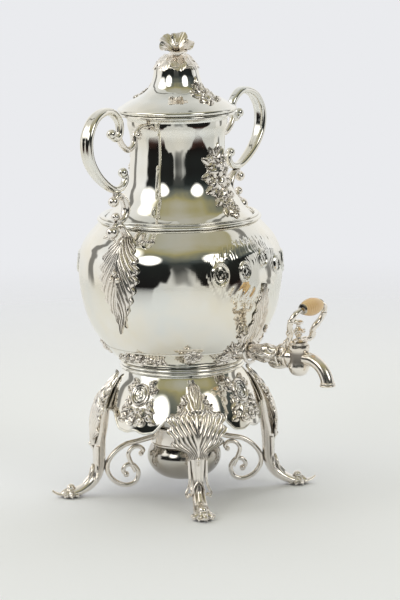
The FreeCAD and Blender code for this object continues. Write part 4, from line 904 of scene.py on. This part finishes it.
def make_burner():
    for place_name, azimuth in DIAGONALS.items():
        bm = bmesh.new()
        flat = plane_normal(azimuth)
        main = meridian(azimuth, ARM_LINE, 1.2)
        limb(bm, main, lambda share: (2.8 - 0.5 * share, 2.8 - 0.5 * share), flat, 14)
        ball(bm, main[-1], 3.2)
        branch = meridian(azimuth, BRANCH_LINE, 1.2)
        limb(bm, branch, lambda share: (2.4 - 0.3 * share, 2.4 - 0.3 * share), flat, 14)
        ball(bm, branch[-1], 2.8)
        mark_recesses(bm, 0.3)
        piece(f"scroll_arm_{place_name}", bm, "root", cast, [f"burner_arm_{place_name}"])
    bowl = flowing([(0.01, 15), (13, 15.2), (24, 18.4), (32.4, 25.2), (37.2, 34.4), (37.0, 42.4),
                    (33.8, 49.4), (32.5, 51.2)], 1.2)
    bm = lathe(walled(bowl, 1.2, 2), 192)
    piece("spirit_bowl", bm, "root", warmed, ["burner_font"])
    outside = [Vector(p) for p in ((27, 56), (27, 58), (31, 58), (31, 69.2))]
    lip = flowing([(31, 69.2), (32.2, 70.0), (33.6, 69.3), (33.2, 68.0), (32.6, 67.4)], 0.5)
    rest = [Vector(p) for p in ((32.6, 53.4), (33.6, 52.6), (33.4, 51.4), (32.4, 51), (31, 51), (31, 56))]
    bm = lathe(outside + lip[1:] + rest + [outside[0]], 192)
    piece("lamp_collar", bm, "root", cast, ["burner_collar"], crease=50)
    cap = flowing([(28, 59.9), (28, 70), (28, 79), (26.4, 82.2), (22, 83.4), (12, 83.8), (3.4, 84)], 1.0)
    bm = lathe(walled(cap, 1.2, 2), 144)
    piece("snuffer_dome", bm, "snuffer", warmed, ["snuffer_cap"])
    knob = [Vector(p) for p in ((0.01, 81.6), (3.2, 81.6), (3.2, 84.4))]
    turned = flowing([(3.2, 84.4), (2.4, 86.0), (4.4, 88.0), (4.6, 90.4), (2.6, 92.0), (0.01, 92.2)], 0.4)
    bm = lathe(knob + turned[1:], 48)
    piece("snuffer_button", bm, "snuffer", cast, ["snuffer_knob"])


make_burner()

# ---------------------------------------------------------------- handles
# Two cast scroll handles. Each is a flat oval band that rolls over at the top and in at the foot to
# a ball, held off the neck by an S scroll, and off the shoulder by two C scrolls and a leaf.

SIDES = {"left": -90, "right": 90}
LOOP_LINE = [(106.5, 376.5), (100.5, 371.5), (94.5, 375), (94.5, 387.5), (110, 399), (132, 394), (144.2, 377),
             (143.4, 358), (134, 342.6), (117, 328.5), (103.4, 322.4), (91, 324.5), (86.5, 332), (90, 337.5)]
UPPER_LINE = [(95.5, 372), (90.5, 364.5), (80.5, 358.6), (71.5, 364), (69, 373), (60, 378.8), (50.4, 378.3)]
MIDDLE_LINE = [(106, 311), (101, 316.3), (93, 314), (87, 303), (91.5, 293.5), (98.5, 291), (103.5, 296)]
LOWER_LINE = [(109.5, 281.5), (105, 287.4), (97, 287), (91.5, 281), (85.6, 273.6)]


def make_handle(side, azimuth):
    flat = plane_normal(azimuth)

    def band_size(share):
        swell = math.sin(math.pi * min(max(share, 0), 1)) ** 1.3
        return 3.3 + 3.7 * swell, 3.2 + 0.8 * swell

    def band_shape(angle, share):
        """A flat oval with a fine groove down its inner side."""
        square = (abs(math.cos(angle)) ** 2.5 + abs(math.sin(angle)) ** 2.5) ** (-1 / 2.5)
        inner = sum(math.exp(-((angle - math.pi * half) / 0.26) ** 2) for half in (0.5, 1.5))
        return square * (1 - 0.10 * inner * math.sin(math.pi * share))

    bm = bmesh.new()
    loop = meridian(azimuth, LOOP_LINE, 1.8)
    limb(bm, loop, band_size, flat, 28, band_shape)
    ball(bm, loop[0], 5.0)
    ball(bm, loop[-1], 5.0)
    mark_recesses(bm, 0.3)
    piece(f"scroll_handle_{side}", bm, "root", burnished, [f"handle_{side}"])

    bm = bmesh.new()
    upper = meridian(azimuth, UPPER_LINE, 1.4)
    limb(bm, upper, lambda share: (3.2 - 0.6 * share, 3.1 - 0.5 * share), flat, 14)
    heart = out_at(azimuth, 66.5, 371.5)
    outward = out_at(azimuth, 1, 0)
    ball(bm, heart, 4.2)
    for step in range(6):
        turn = math.tau * step / 6
        for face_side in (-1, 1):
            ball(bm, heart + (outward * math.cos(turn) + Vector((0, 0, math.sin(turn)))) * 3.6
                 + flat * face_side * 2.0, 1.7)
    mark_recesses(bm, 0.3)
    piece(f"upper_scroll_{side}", bm, "root", cast, [f"handle_upper_scroll_{side}"])

    bm = bmesh.new()
    middle = meridian(azimuth, MIDDLE_LINE, 1.2)
    limb(bm, middle, lambda share: (3.0 + 2.2 * math.sin(math.pi * share),
                                    2.7 + 0.9 * math.sin(math.pi * share)), flat, 16)
    ball(bm, middle[0], 5.4)
    ball(bm, middle[-1], 4.4)
    lower = meridian(azimuth, LOWER_LINE, 1.2)
    limb(bm, lower, lambda share: (3.0 + 1.6 * share, 2.9 + 0.8 * share), flat, 16)
    ball(bm, lower[0], 6.3)
    neck_link = meridian(azimuth, [(101.5, 291.5), (100.5, 287.5)], 0.8)
    limb(bm, neck_link, lambda share: (2.6, 2.4), flat, 12)
    top_link = meridian(azimuth, [(103.4, 321.8), (103.2, 315.4)], 0.8)
    limb(bm, top_link, lambda share: (2.6, 2.4), flat, 12)
    mark_recesses(bm, 0.3)
    piece(f"lower_scrolls_{side}", bm, "root", cast, [f"handle_lower_scrolls_{side}"])

    bm = bmesh.new()
    hung = seated(belly_line, azimuth, 276)

    def place(across, up, proud=0):
        return hung(across, -up, proud)

    palmette(bm, place, 100, [4.5, 9, 15.5, 20.5, 23, 23.5, 22.5, 20, 16.5, 12.5, 8, 3.6, 0.9], 4.5, 2.1,
             0.62, 2.4, 2.2, (100, 130), 0.18, 1.2)
    ball(bm, place(-3.4, 47, 6.2), 2.7)
    ball(bm, place(3.4, 47, 6.2), 2.7)
    ball(bm, place(0, 41, 6.4), 2.4)
    for sign in (-1, 1):
        for reach in (0, 1, 2):
            leaflet(bm, place, sign * (15 + reach * 6), 7 - reach * 1.5, 9 - reach, 3.6,
                    90 - sign * (92 - reach * 20), 0.3)
            blossom(bm, place, sign * (14 + reach * 6.4), 9 - reach * 1.8, 1.9 - reach * 0.3, 5, reach, 0.5)
    mark_recesses(bm, 0.3)
    piece(f"belly_leaf_{side}", bm, "root", cast, [f"handle_leaf_{side}"])


for side, azimuth in SIDES.items():
    make_handle(side, azimuth)

# ---------------------------------------------------------------- spigot
# Cast brass, plated. The tube swells into a leafy lobe and a knuckle before the tapered barrel; the
# spout bends down to a flanged lip. An acanthus plate spreads over the belly where it enters.

TAP_AWAY = 142.0
TAP_HEIGHT = 154.0
SPOUT_AWAY = 175.4
side_on = Vector((1, 0, 0))


def hoop(bm, centre, high, radius, wire):
    """A round of wire about a spot, in the plane of the x axis and another direction."""
    angles = [math.tau * step / 40 for step in range(41)]
    ring = [centre + (side_on * math.cos(angle) + high * math.sin(angle)) * radius for angle in angles]
    limb(bm, ring, wire, side_on.cross(high), 8)


def place_turning(bm, outline, steps, spot, axis):
    """Turn an outline about a line through a spot: radius from it, and distance along it."""
    turned = lathe([Vector(point) for point in outline], steps)
    facing = upright.rotation_difference(axis).to_matrix().to_4x4()
    bmesh.ops.transform(turned, matrix=Matrix.Translation(spot) @ facing, verts=turned.verts)
    loose = bpy.data.meshes.new("turning")
    turned.to_mesh(loose)
    turned.free()
    bm.from_mesh(loose)
    bpy.data.meshes.remove(loose)


def make_tap():
    bm = bmesh.new()
    tube = [Vector((0, -y, TAP_HEIGHT)) for y in range(70, 144)]
    radii = [10.5, 9.4, 8.2, 7.6, 7.8, 8.6, 9.2, 8.6, 7.6, 8.4, 10.2, 10.0, 8.2, 8.0]

    def carved(angle, share):
        """Overlapping leaf tips run along the tube's swelling."""
        strength = 0.10 * step_up(share, 0.24, 0.36) * (1 - step_up(share, 0.8, 0.88))
        return 1 + strength * math.cos(angle * 6 + math.sin(share * 40) * 0.8)

    limb(bm, tube, lambda share: (eased(radii, share), eased(radii, share)), side_on, 36, carved)
    for at, radius, roll in ((121.5, 10.4, 1.4), (130.5, 10.6, 1.5), (84.5, 11.4, 1.8)):
        hoop(bm, Vector((0, -at, TAP_HEIGHT)), upright, radius, roll)
    lobe = bmesh.ops.create_icosphere(bm, subdivisions=4, radius=1)["verts"]
    for vert in lobe:
        x, y, z = vert.co
        frill = 1 + 0.10 * math.cos(9 * math.atan2(x, -z)) * math.hypot(x, z)
        vert.co = Vector((x * 7.6 * frill, -118 - y * 11.5, 145.6 + z * 5.4 * frill))
    barrel = [(0.01, 135.6), (4.2, 135.8), (7.4, 137.4), (9.4, 140.6), (10.6, 144.2), (10.2, 147), (9.4, 150),
              (9.4, 158), (10.2, 161.4), (10.9, 163.6), (10.4, 165.9), (7.3, 166)]
    place_turning(bm, barrel, 64, Vector((0, -TAP_AWAY, 0)), upright)
    spout = [Vector((0, -spot.x, spot.y)) for spot in flowing([(146, 153.6), (157, 152.8), (165.6, 148.4),
                                                               (171.6, 141.6), (174.8, 134),
                                                               (175.5, 129.4)], 1.2)]
    limb(bm, spout, lambda share: (6.6 - 0.5 * math.sin(math.pi * share),
                                   6.8 - 0.6 * math.sin(math.pi * share)), side_on, 28)
    for height, radius, roll in ((131.6, 6.5, 1.0), (129.2, 6.9, 1.1)):
        hoop(bm, Vector((0, -SPOUT_AWAY, height)), Vector((0, 1, 0)), radius, roll)
    bmesh.ops.recalc_face_normals(bm, faces=bm.faces)
    mark_recesses(bm, 0.22)
    piece("tap_casting", bm, "root", cast, ["tap_body", "tap_collar"], crease=50)

    bm = bmesh.new()
    rising = seated(belly_line, 0, 160)
    palmette(bm, rising, 68, [20, 22, 18, 14.5, 13, 12, 10.5, 8.5, 6, 2], 5, 1.1, 0.8, 1.4, 1.3, (90, 90),
             0.24, 0.4)
    base = seated(belly_line, 0, 146)
    for sign in (-1, 1):
        for across, up in ((20, 16), (22.6, 13.4), (19, 20), (22, 18)):
            ball(bm, rising(sign * across, up, 1.6), 1.7)
        for fan in range(6):
            leaflet(bm, base, sign * (12 + fan * 1.2), 3 + fan * 2.2, 17, 6.5, 90 - sign * (118 - fan * 17),
                    0.4)
        curl(bm, base, sign * 25, 10, 6.5, 90 - 90 * sign, -1.4 * sign, 1.7, 1.5)
        blossom(bm, base, sign * 20, 20, 4.2, 6, 0.5, 0.8)
        blossom(bm, base, sign * 27, 19, 2.6, 5, 0.5, 0.8)
        blossom(bm, base, sign * 15, 27, 2.6, 5, 0.5, 0.8)
    mark_recesses(bm, 0.3)
    piece("spigot_acanthus", bm, "root", cast, ["spigot_leaf"])


make_tap()

# ---------------------------------------------------------------- tap key
# The plug's head carries a lyre bow of cast wire that leans outwards, a turned bone barrel on a pin
# through its ends so that it stays cool, and a small crown finial between its arms.

BOW_LEAN = math.radians(23.6)
BOW_SPOTS = [(7, 0.6), (15, -1), (21.5, 1.5), (20, 8), (21.5, 14), (27, 20), (29, 27.5), (26, 35),
             (18.4, 38.7)]
GRIP_SPOT = Vector((0, -157.5, 205.5))
GRIP_HALF = 14.5
BONE_BAND_MM = 1.3
BONE_FLECK_MM = 1.6
bow_foot = Vector((0, -TAP_AWAY, 170))


def bone(name):
    """Turned bone: pale tan, banded round its axis by the lathe, flecked along the grain, waxed."""
    finish, tree = bare_material(name)
    spot = add_node(tree, "ShaderNodeTexCoord")
    bands = add_node(tree, "ShaderNodeTexWave", {"Vector": spot.outputs["Object"],
                                                 "Scale": 1000 / BONE_BAND_MM / math.tau, "Distortion": 1.2,
                                                 "Detail": 2.0, "Detail Scale": 3.0}, wave_type="BANDS",
                     bands_direction="X")
    grain = add_node(tree, "ShaderNodeTexNoise", {"Vector": spot.outputs["Object"],
                                                  "Scale": 1000 / BONE_FLECK_MM, "Detail": 3.0})
    mixed = add_node(tree, "ShaderNodeMath", {0: bands.outputs["Fac"], 1: grain.outputs["Fac"]},
                     operation="MULTIPLY")
    tones = add_node(tree, "ShaderNodeValToRGB", {"Fac": mixed.outputs["Value"]})
    ramp_stops(tones, [(0.0, "#D9AF78"), (0.2, "#EBC690"), (0.6, "#F4D9AC"), (1.0, "#FAE8C8")])
    bump = add_node(tree, "ShaderNodeBump", {"Height": bands.outputs["Fac"], "Strength": 0.5,
                                             "Distance": 0.12 * MM})
    wax = add_node(tree, "ShaderNodeBsdfPrincipled", {
        "Base Color": tones.outputs["Color"], "Roughness": 0.34, "IOR": 1.54,
        "Subsurface Weight": 0.12, "Subsurface Radius": (0.004, 0.0025, 0.0015),
        "Normal": bump.outputs["Normal"]})
    add_node(tree, "ShaderNodeOutputMaterial", {"Surface": wax.outputs["BSDF"]})
    return finish


def leaned(x, rise):
    """A spot in the bow's own leaning plane."""
    return bow_foot + Vector((x, -math.sin(BOW_LEAN) * rise, math.cos(BOW_LEAN) * rise))


def make_key():
    bow_flat = Vector((0, -math.cos(BOW_LEAN), -math.sin(BOW_LEAN)))
    bm = bmesh.new()
    for sign in (-1, 1):
        arm = flowing([leaned(sign * x, rise) for x, rise in BOW_SPOTS], 1.1)
        limb(bm, arm, lambda share: (2.3 + 0.5 * math.sin(math.pi * share),
                                     2.1 + 1.0 * math.sin(math.pi * share) ** 2), bow_flat, 14)
        knee_spots = ((15, -1), (21, -2.4), (26, 0.4), (25.6, 4.6), (22.6, 4.6))
        knee = flowing([leaned(sign * x, rise) for x, rise in knee_spots], 0.8)
        limb(bm, knee, lambda share: (1.9 - 0.4 * share, 1.9 - 0.4 * share), bow_flat, 10)
        ball(bm, knee[-1], 2.1)
        hook_spots = ((21.6, 13), (25.6, 12.4), (27.8, 14.8), (26.4, 17))
        hook = flowing([leaned(sign * x, rise) for x, rise in hook_spots], 0.7)
        limb(bm, hook, 1.6, bow_flat, 8)
        ball(bm, hook[-1], 1.9)
        ball(bm, leaned(sign * 29, 27), 3.2)
    place_turning(bm, [(0.01, 169), (6.4, 169), (7.0, 170.2), (6.0, 171.6), (3.5, 172.4), (0.01, 172.6)], 40,
                  Vector((0, -TAP_AWAY, 0)), upright)
    bridge = [bow_foot + Vector((x, 0, 0.4)) for x in range(-11, 12)]
    limb(bm, bridge, lambda share: (2.9, 2.7), upright, 14)
    bmesh.ops.recalc_face_normals(bm, faces=bm.faces)
    mark_recesses(bm, 0.25)
    piece("lyre_bow", bm, "tap_key", cast, ["key_bow"])

    bm = bmesh.new()
    swell = flowing([(5.6, -13.8), (7.4, -8.4), (8.7, 0), (7.4, 8.4), (5.6, 13.8)], 0.7)
    grip = [(1.6, -GRIP_HALF), (4.9, -GRIP_HALF)] + [tuple(spot) for spot in swell]
    grip += [(4.9, GRIP_HALF), (1.6, GRIP_HALF), (1.6, -GRIP_HALF)]
    for index in range(3, len(grip) - 3):
        radius, along = grip[index]
        grip[index] = (radius - 0.16 * (0.5 - 0.5 * math.cos(along * 2.6)), along)
    place_turning(bm, grip, 64, GRIP_SPOT, side_on)
    piece("bone_grip", bm, "tap_key", bone("turned_bone"), ["key_grip"])

    bm = bmesh.new()
    for sign in (-1, 1):
        place_turning(bm, [(1.6, 14.6), (5.0, 14.6), (5.3, 15.1), (4.4, 16.2), (1.6, 16.4), (1.6, 14.6)],
                      40, GRIP_SPOT, side_on * sign)
    mark_recesses(bm, 0.2)
    piece("grip_caps", bm, "tap_key", warmed, ["grip_ferrules"])

    bm = bmesh.new()
    stem = flowing([(4.6, 169.4), (3.0, 172.0), (2.6, 174.6), (4.0, 176.4), (3.0, 178.0), (4.6, 180.4),
                    (3.2, 182.6), (2.0, 184.6), (2.2, 186.4)], 0.5)
    knob = flowing([(2.2, 186.4), (4.6, 188.0), (5.0, 189.6), (3.4, 191.4), (0.01, 191.9)], 0.4)
    place_turning(bm, [tuple(p) for p in [Vector((0.01, 169.4))] + stem + knob[1:]], 36,
                  Vector((0, -TAP_AWAY, 0)), upright)
    for turn in range(4):
        way = Vector((math.cos(turn * math.pi / 2), math.sin(turn * math.pi / 2), 0))
        reach = 10 if turn % 2 == 0 else 7
        arm = [Vector((0, -TAP_AWAY, 180.2)) + way * reach * share / 8
               + Vector((0, 0, 0.9 * math.sin(share * 0.7))) for share in range(1, 9)]
        limb(bm, arm, lambda share: (2.4 - 1.8 * share, 1.9 - 1.3 * share), upright, 8)
        ball(bm, arm[-1], 1.2)
    bmesh.ops.recalc_face_normals(bm, faces=bm.faces)
    mark_recesses(bm, 0.2)
    piece("crown_finial", bm, "tap_key", cast, ["key_finial"])


make_key()

# ---------------------------------------------------------------- lid
# Spun dome with a wired edge that sits on the neck's rim; its bezel drops inside. The bell of the
# crown ends in a leafy collar and an open flower, screwed through from inside with a brass nut.

lid_line = flowing([(57, 393), (53, 396), (47, 399.6), (38.4, 404), (31.4, 408.6), (27, 413.4),
                    (24.4, 419.2)], 1.4)
crown_line = flowing([(24.4, 419.2), (22.8, 425), (21.6, 433)], 1.0)
LID_BLOOMS = [(0, 8, 5.4, 6), (7, 13, 4.0, 5), (-7, 12, 4.0, 5), (2, 20, 3.6, 5), (-5, 23, 3.0, 5),
              (11, 6, 3.0, 5), (-11, 6, 3.0, 5), (1, 29, 2.6, 5)]
FLOWER_TURN = math.radians(-50)    # the flower leans to this side
FLOWER_TILT = math.radians(32)
CALYX_RINGS = [(8, 23.4, 19, 10.5, 440.6), (8, 17.5, 15, 3.0, 441.8)]
FLOWER_SEAT = 446
PETAL_SEAT = 449
LID_TOP = 469.9
LID_LEAVES = [(6, 4, 12, 6, -8), (-6, 4, 12, 6, 188), (7, 10, 11, 5.5, 30), (-7, 10, 11, 5.5, 150),
              (3, 18, 11, 5, 62), (-3, 18, 11, 5, 118), (0, 26, 9, 4, 90), (10, 14, 8, 4.5, 60),
              (-10, 14, 8, 4.5, 120)]


def make_lid():
    bm = lathe(walled(lid_line + crown_line[1:], 1.2, 3), 240)
    piece("lid_shell", bm, "lid", burnished, ["lid_dome"], crease=55)
    wire = flowing([(55.4, 389.0), (58.0, 389.0), (59.3, 391.0), (58.2, 393.0), (56.6, 393.3)], 0.5)
    bm = lathe(wire + [Vector((55.4, 393.0)), wire[0]], 240)
    piece("lid_edge_wire", bm, "lid", burnished, ["lid_rim_wire"], crease=60)
    bm = bmesh.new()
    for azimuth in NECK_AZIMUTHS.values():
        bouquet(bm, seated(lid_line + crown_line[1:], azimuth, 400), LID_BLOOMS, LID_LEAVES)
    mark_recesses(bm, 0.3)
    piece("lid_bouquets", bm, "lid", cast, ["lid_sprays"])

    collar = flowing([(2.6, 432), (12, 432), (21.2, 432), (22, 433.4), (21.2, 434.8), (16, 436),
                      (2.6, 436.4)], 0.8)
    bm = lathe(collar + [collar[0]], 96)
    piece("finial_ring", bm, "lid", cast, ["finial_base"])

    bm = bmesh.new()
    for ring, (count, reach, width, droop, low) in enumerate(CALYX_RINGS):
        for index in range(count):
            turn = math.tau * (index + 0.5 * ring) / count
            out = Vector((math.sin(turn), -math.cos(turn), 0))
            across = Vector((math.cos(turn), math.sin(turn), 0))
            made = bmesh.ops.create_icosphere(bm, subdivisions=4, radius=1)["verts"]
            for vert in made:
                x, y, z = vert.co
                along = (x + 1) / 2
                ripple = 0.35 * math.cos(y * 16) * along + 0.5 * math.cos(x * 7 + y * 3)
                curve = 2.6 * math.sin(math.pi * along) - droop * along ** 2.4
                vert.co = (out * (5 + (reach - 5) * along) + across * (y * width / 2)
                           + Vector((0, 0, low + curve + ripple - 1.0 * abs(y) + 1.1 * z)))
    place_turning(bm, [(2.6, 436.4), (9.0, 436.4), (11.0, 439.6), (9.6, 443.4), (6.0, 446), (2.6, 446),
                       (2.6, 436.4)], 48, Vector(), upright)
    bmesh.ops.recalc_face_normals(bm, faces=bm.faces)
    mark_recesses(bm, 0.3)
    piece("leaf_collar", bm, "lid", cast, ["finial_calyx"])

    bm = bmesh.new()
    for petal in range(5):
        turn = math.tau * (petal + 0.5) / 5
        for vert in sheet(bm, 28, 24):
            side, along, under = vert.co.x, (vert.co.y + 1) / 2, vert.co.z
            round_end = math.sqrt(max(1 - 0.62 * side * side * along, 0))
            radius = 2.6 + 15.6 * along * round_end
            spread = side * (0.80 - 0.08 * along)
            veins = 0.22 * math.cos(side * 22) * along
            ruffle = along ** 3 * (1.3 * math.cos(side * 5.0 + petal * 1.3) + 1.2 * (petal % 2))
            height = 1.0 + 11.4 * along ** 0.9 - 3.4 * along ** 3 + veins + ruffle
            angle = turn + spread
            vert.co = Vector((math.sin(angle) * radius, -math.cos(angle) * radius,
                              PETAL_SEAT + height + under))
    place_turning(bm, [(2.6, 442), (6.2, 442), (6.6, 445.6), (4.8, 448), (2.6, 448), (2.6, 442)], 40,
                  Vector(), upright)
    facing = Matrix.Rotation(FLOWER_TURN, 4, "Z")
    tilt = (Matrix.Translation(upright * FLOWER_SEAT) @ facing @ Matrix.Rotation(FLOWER_TILT, 4, "X")
            @ facing.inverted() @ Matrix.Translation(upright * -FLOWER_SEAT))
    bmesh.ops.transform(bm, matrix=tilt, verts=bm.verts)
    bmesh.ops.recalc_face_normals(bm, faces=bm.faces)
    for vert in bm.verts:
        vert.co.z = min(vert.co.z, LID_TOP)
    mark_recesses(bm, 0.35)
    piece("open_flower", bm, "lid", cast, ["finial_flower"])

    bm = bmesh.new()
    heart = Vector((math.sin(FLOWER_TURN), -math.cos(FLOWER_TURN), 0))
    limb(bm, [Vector((0, 0, 447)), Vector((0, 0, 449.6)) + heart, Vector((0, 0, 452.6)) + heart * 3.6],
         lambda share: (3.0 - 0.6 * share, 3.0 - 0.6 * share), side_on, 16)
    ball(bm, Vector((0, 0, 454)) + heart * 4.8, 3.4)
    bmesh.ops.recalc_face_normals(bm, faces=bm.faces)
    piece("flower_bead", bm, "lid", cast, ["finial_boss"])


make_lid()

# ---------------------------------------------------------------- pieces kept from the frame
# The inner turnings and fastenings are plain: the vessel's base, the bezel, the plug, the brass nut,
# washer, screw, pin and strainer, the wick tube and its plaited cotton wick.


def brass(name):
    """Turned brass left bare: warm yellow, fine tool marks, dulled where fingers reach."""
    finish, tree = bare_material(name)
    spot = add_node(tree, "ShaderNodeTexCoord")
    dull = add_node(tree, "ShaderNodeTexNoise", {"Vector": spot.outputs["Object"], "Scale": 1000 / 6,
                                                 "Detail": 3.0})
    tones = add_node(tree, "ShaderNodeValToRGB", {"Fac": dull.outputs["Fac"]})
    ramp_stops(tones, [(0.35, "#8F7440"), (0.65, "#CDB06A")])
    rough = add_node(tree, "ShaderNodeMapRange", {"Value": dull.outputs["Fac"], "To Min": 0.2,
                                                  "To Max": 0.42})
    metal = add_node(tree, "ShaderNodeBsdfPrincipled", {"Base Color": tones.outputs["Color"], "Metallic": 1.0,
                                                        "Roughness": rough.outputs["Result"]})
    add_node(tree, "ShaderNodeOutputMaterial", {"Surface": metal.outputs["BSDF"]})
    return finish


PLAIT_MM = 2


def cotton(name):
    """Plaited cotton: off-white yarn, a diagonal plait about 2 mm wide, no gloss."""
    finish, tree = bare_material(name)
    spot = add_node(tree, "ShaderNodeTexCoord")
    plait = add_node(tree, "ShaderNodeTexWave", {"Vector": spot.outputs["Object"],
                                                 "Scale": 1000 / PLAIT_MM / math.tau, "Distortion": 0.6},
                     wave_type="BANDS", bands_direction="DIAGONAL")
    tones = add_node(tree, "ShaderNodeValToRGB", {"Fac": plait.outputs["Fac"]})
    ramp_stops(tones, [(0.1, "#A89C82"), (0.8, "#E3DAC4")])
    bump = add_node(tree, "ShaderNodeBump", {"Height": plait.outputs["Fac"], "Strength": 0.7,
                                             "Distance": 0.5 * MM})
    yarn = add_node(tree, "ShaderNodeBsdfPrincipled", {"Base Color": tones.outputs["Color"], "Roughness": 0.9,
                                                       "Sheen Weight": 0.2, "Normal": bump.outputs["Normal"]})
    add_node(tree, "ShaderNodeOutputMaterial", {"Surface": yarn.outputs["BSDF"]})
    return finish


bare_brass = brass("turned_brass")
kept = {"vessel_base": burnished, "lid_bezel": burnished, "tap_plug": cast, "wick_holder": warmed,
        "tap_washer": bare_brass, "tap_nut": bare_brass, "tap_strainer": bare_brass, "grip_pin": bare_brass,
        "finial_screw": bare_brass, "finial_nut": bare_brass, "wick": cotton("plaited_cotton")}
for node, finish in kept.items():
    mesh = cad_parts[node].data
    mesh.materials.clear()
    mesh.materials.append(finish)
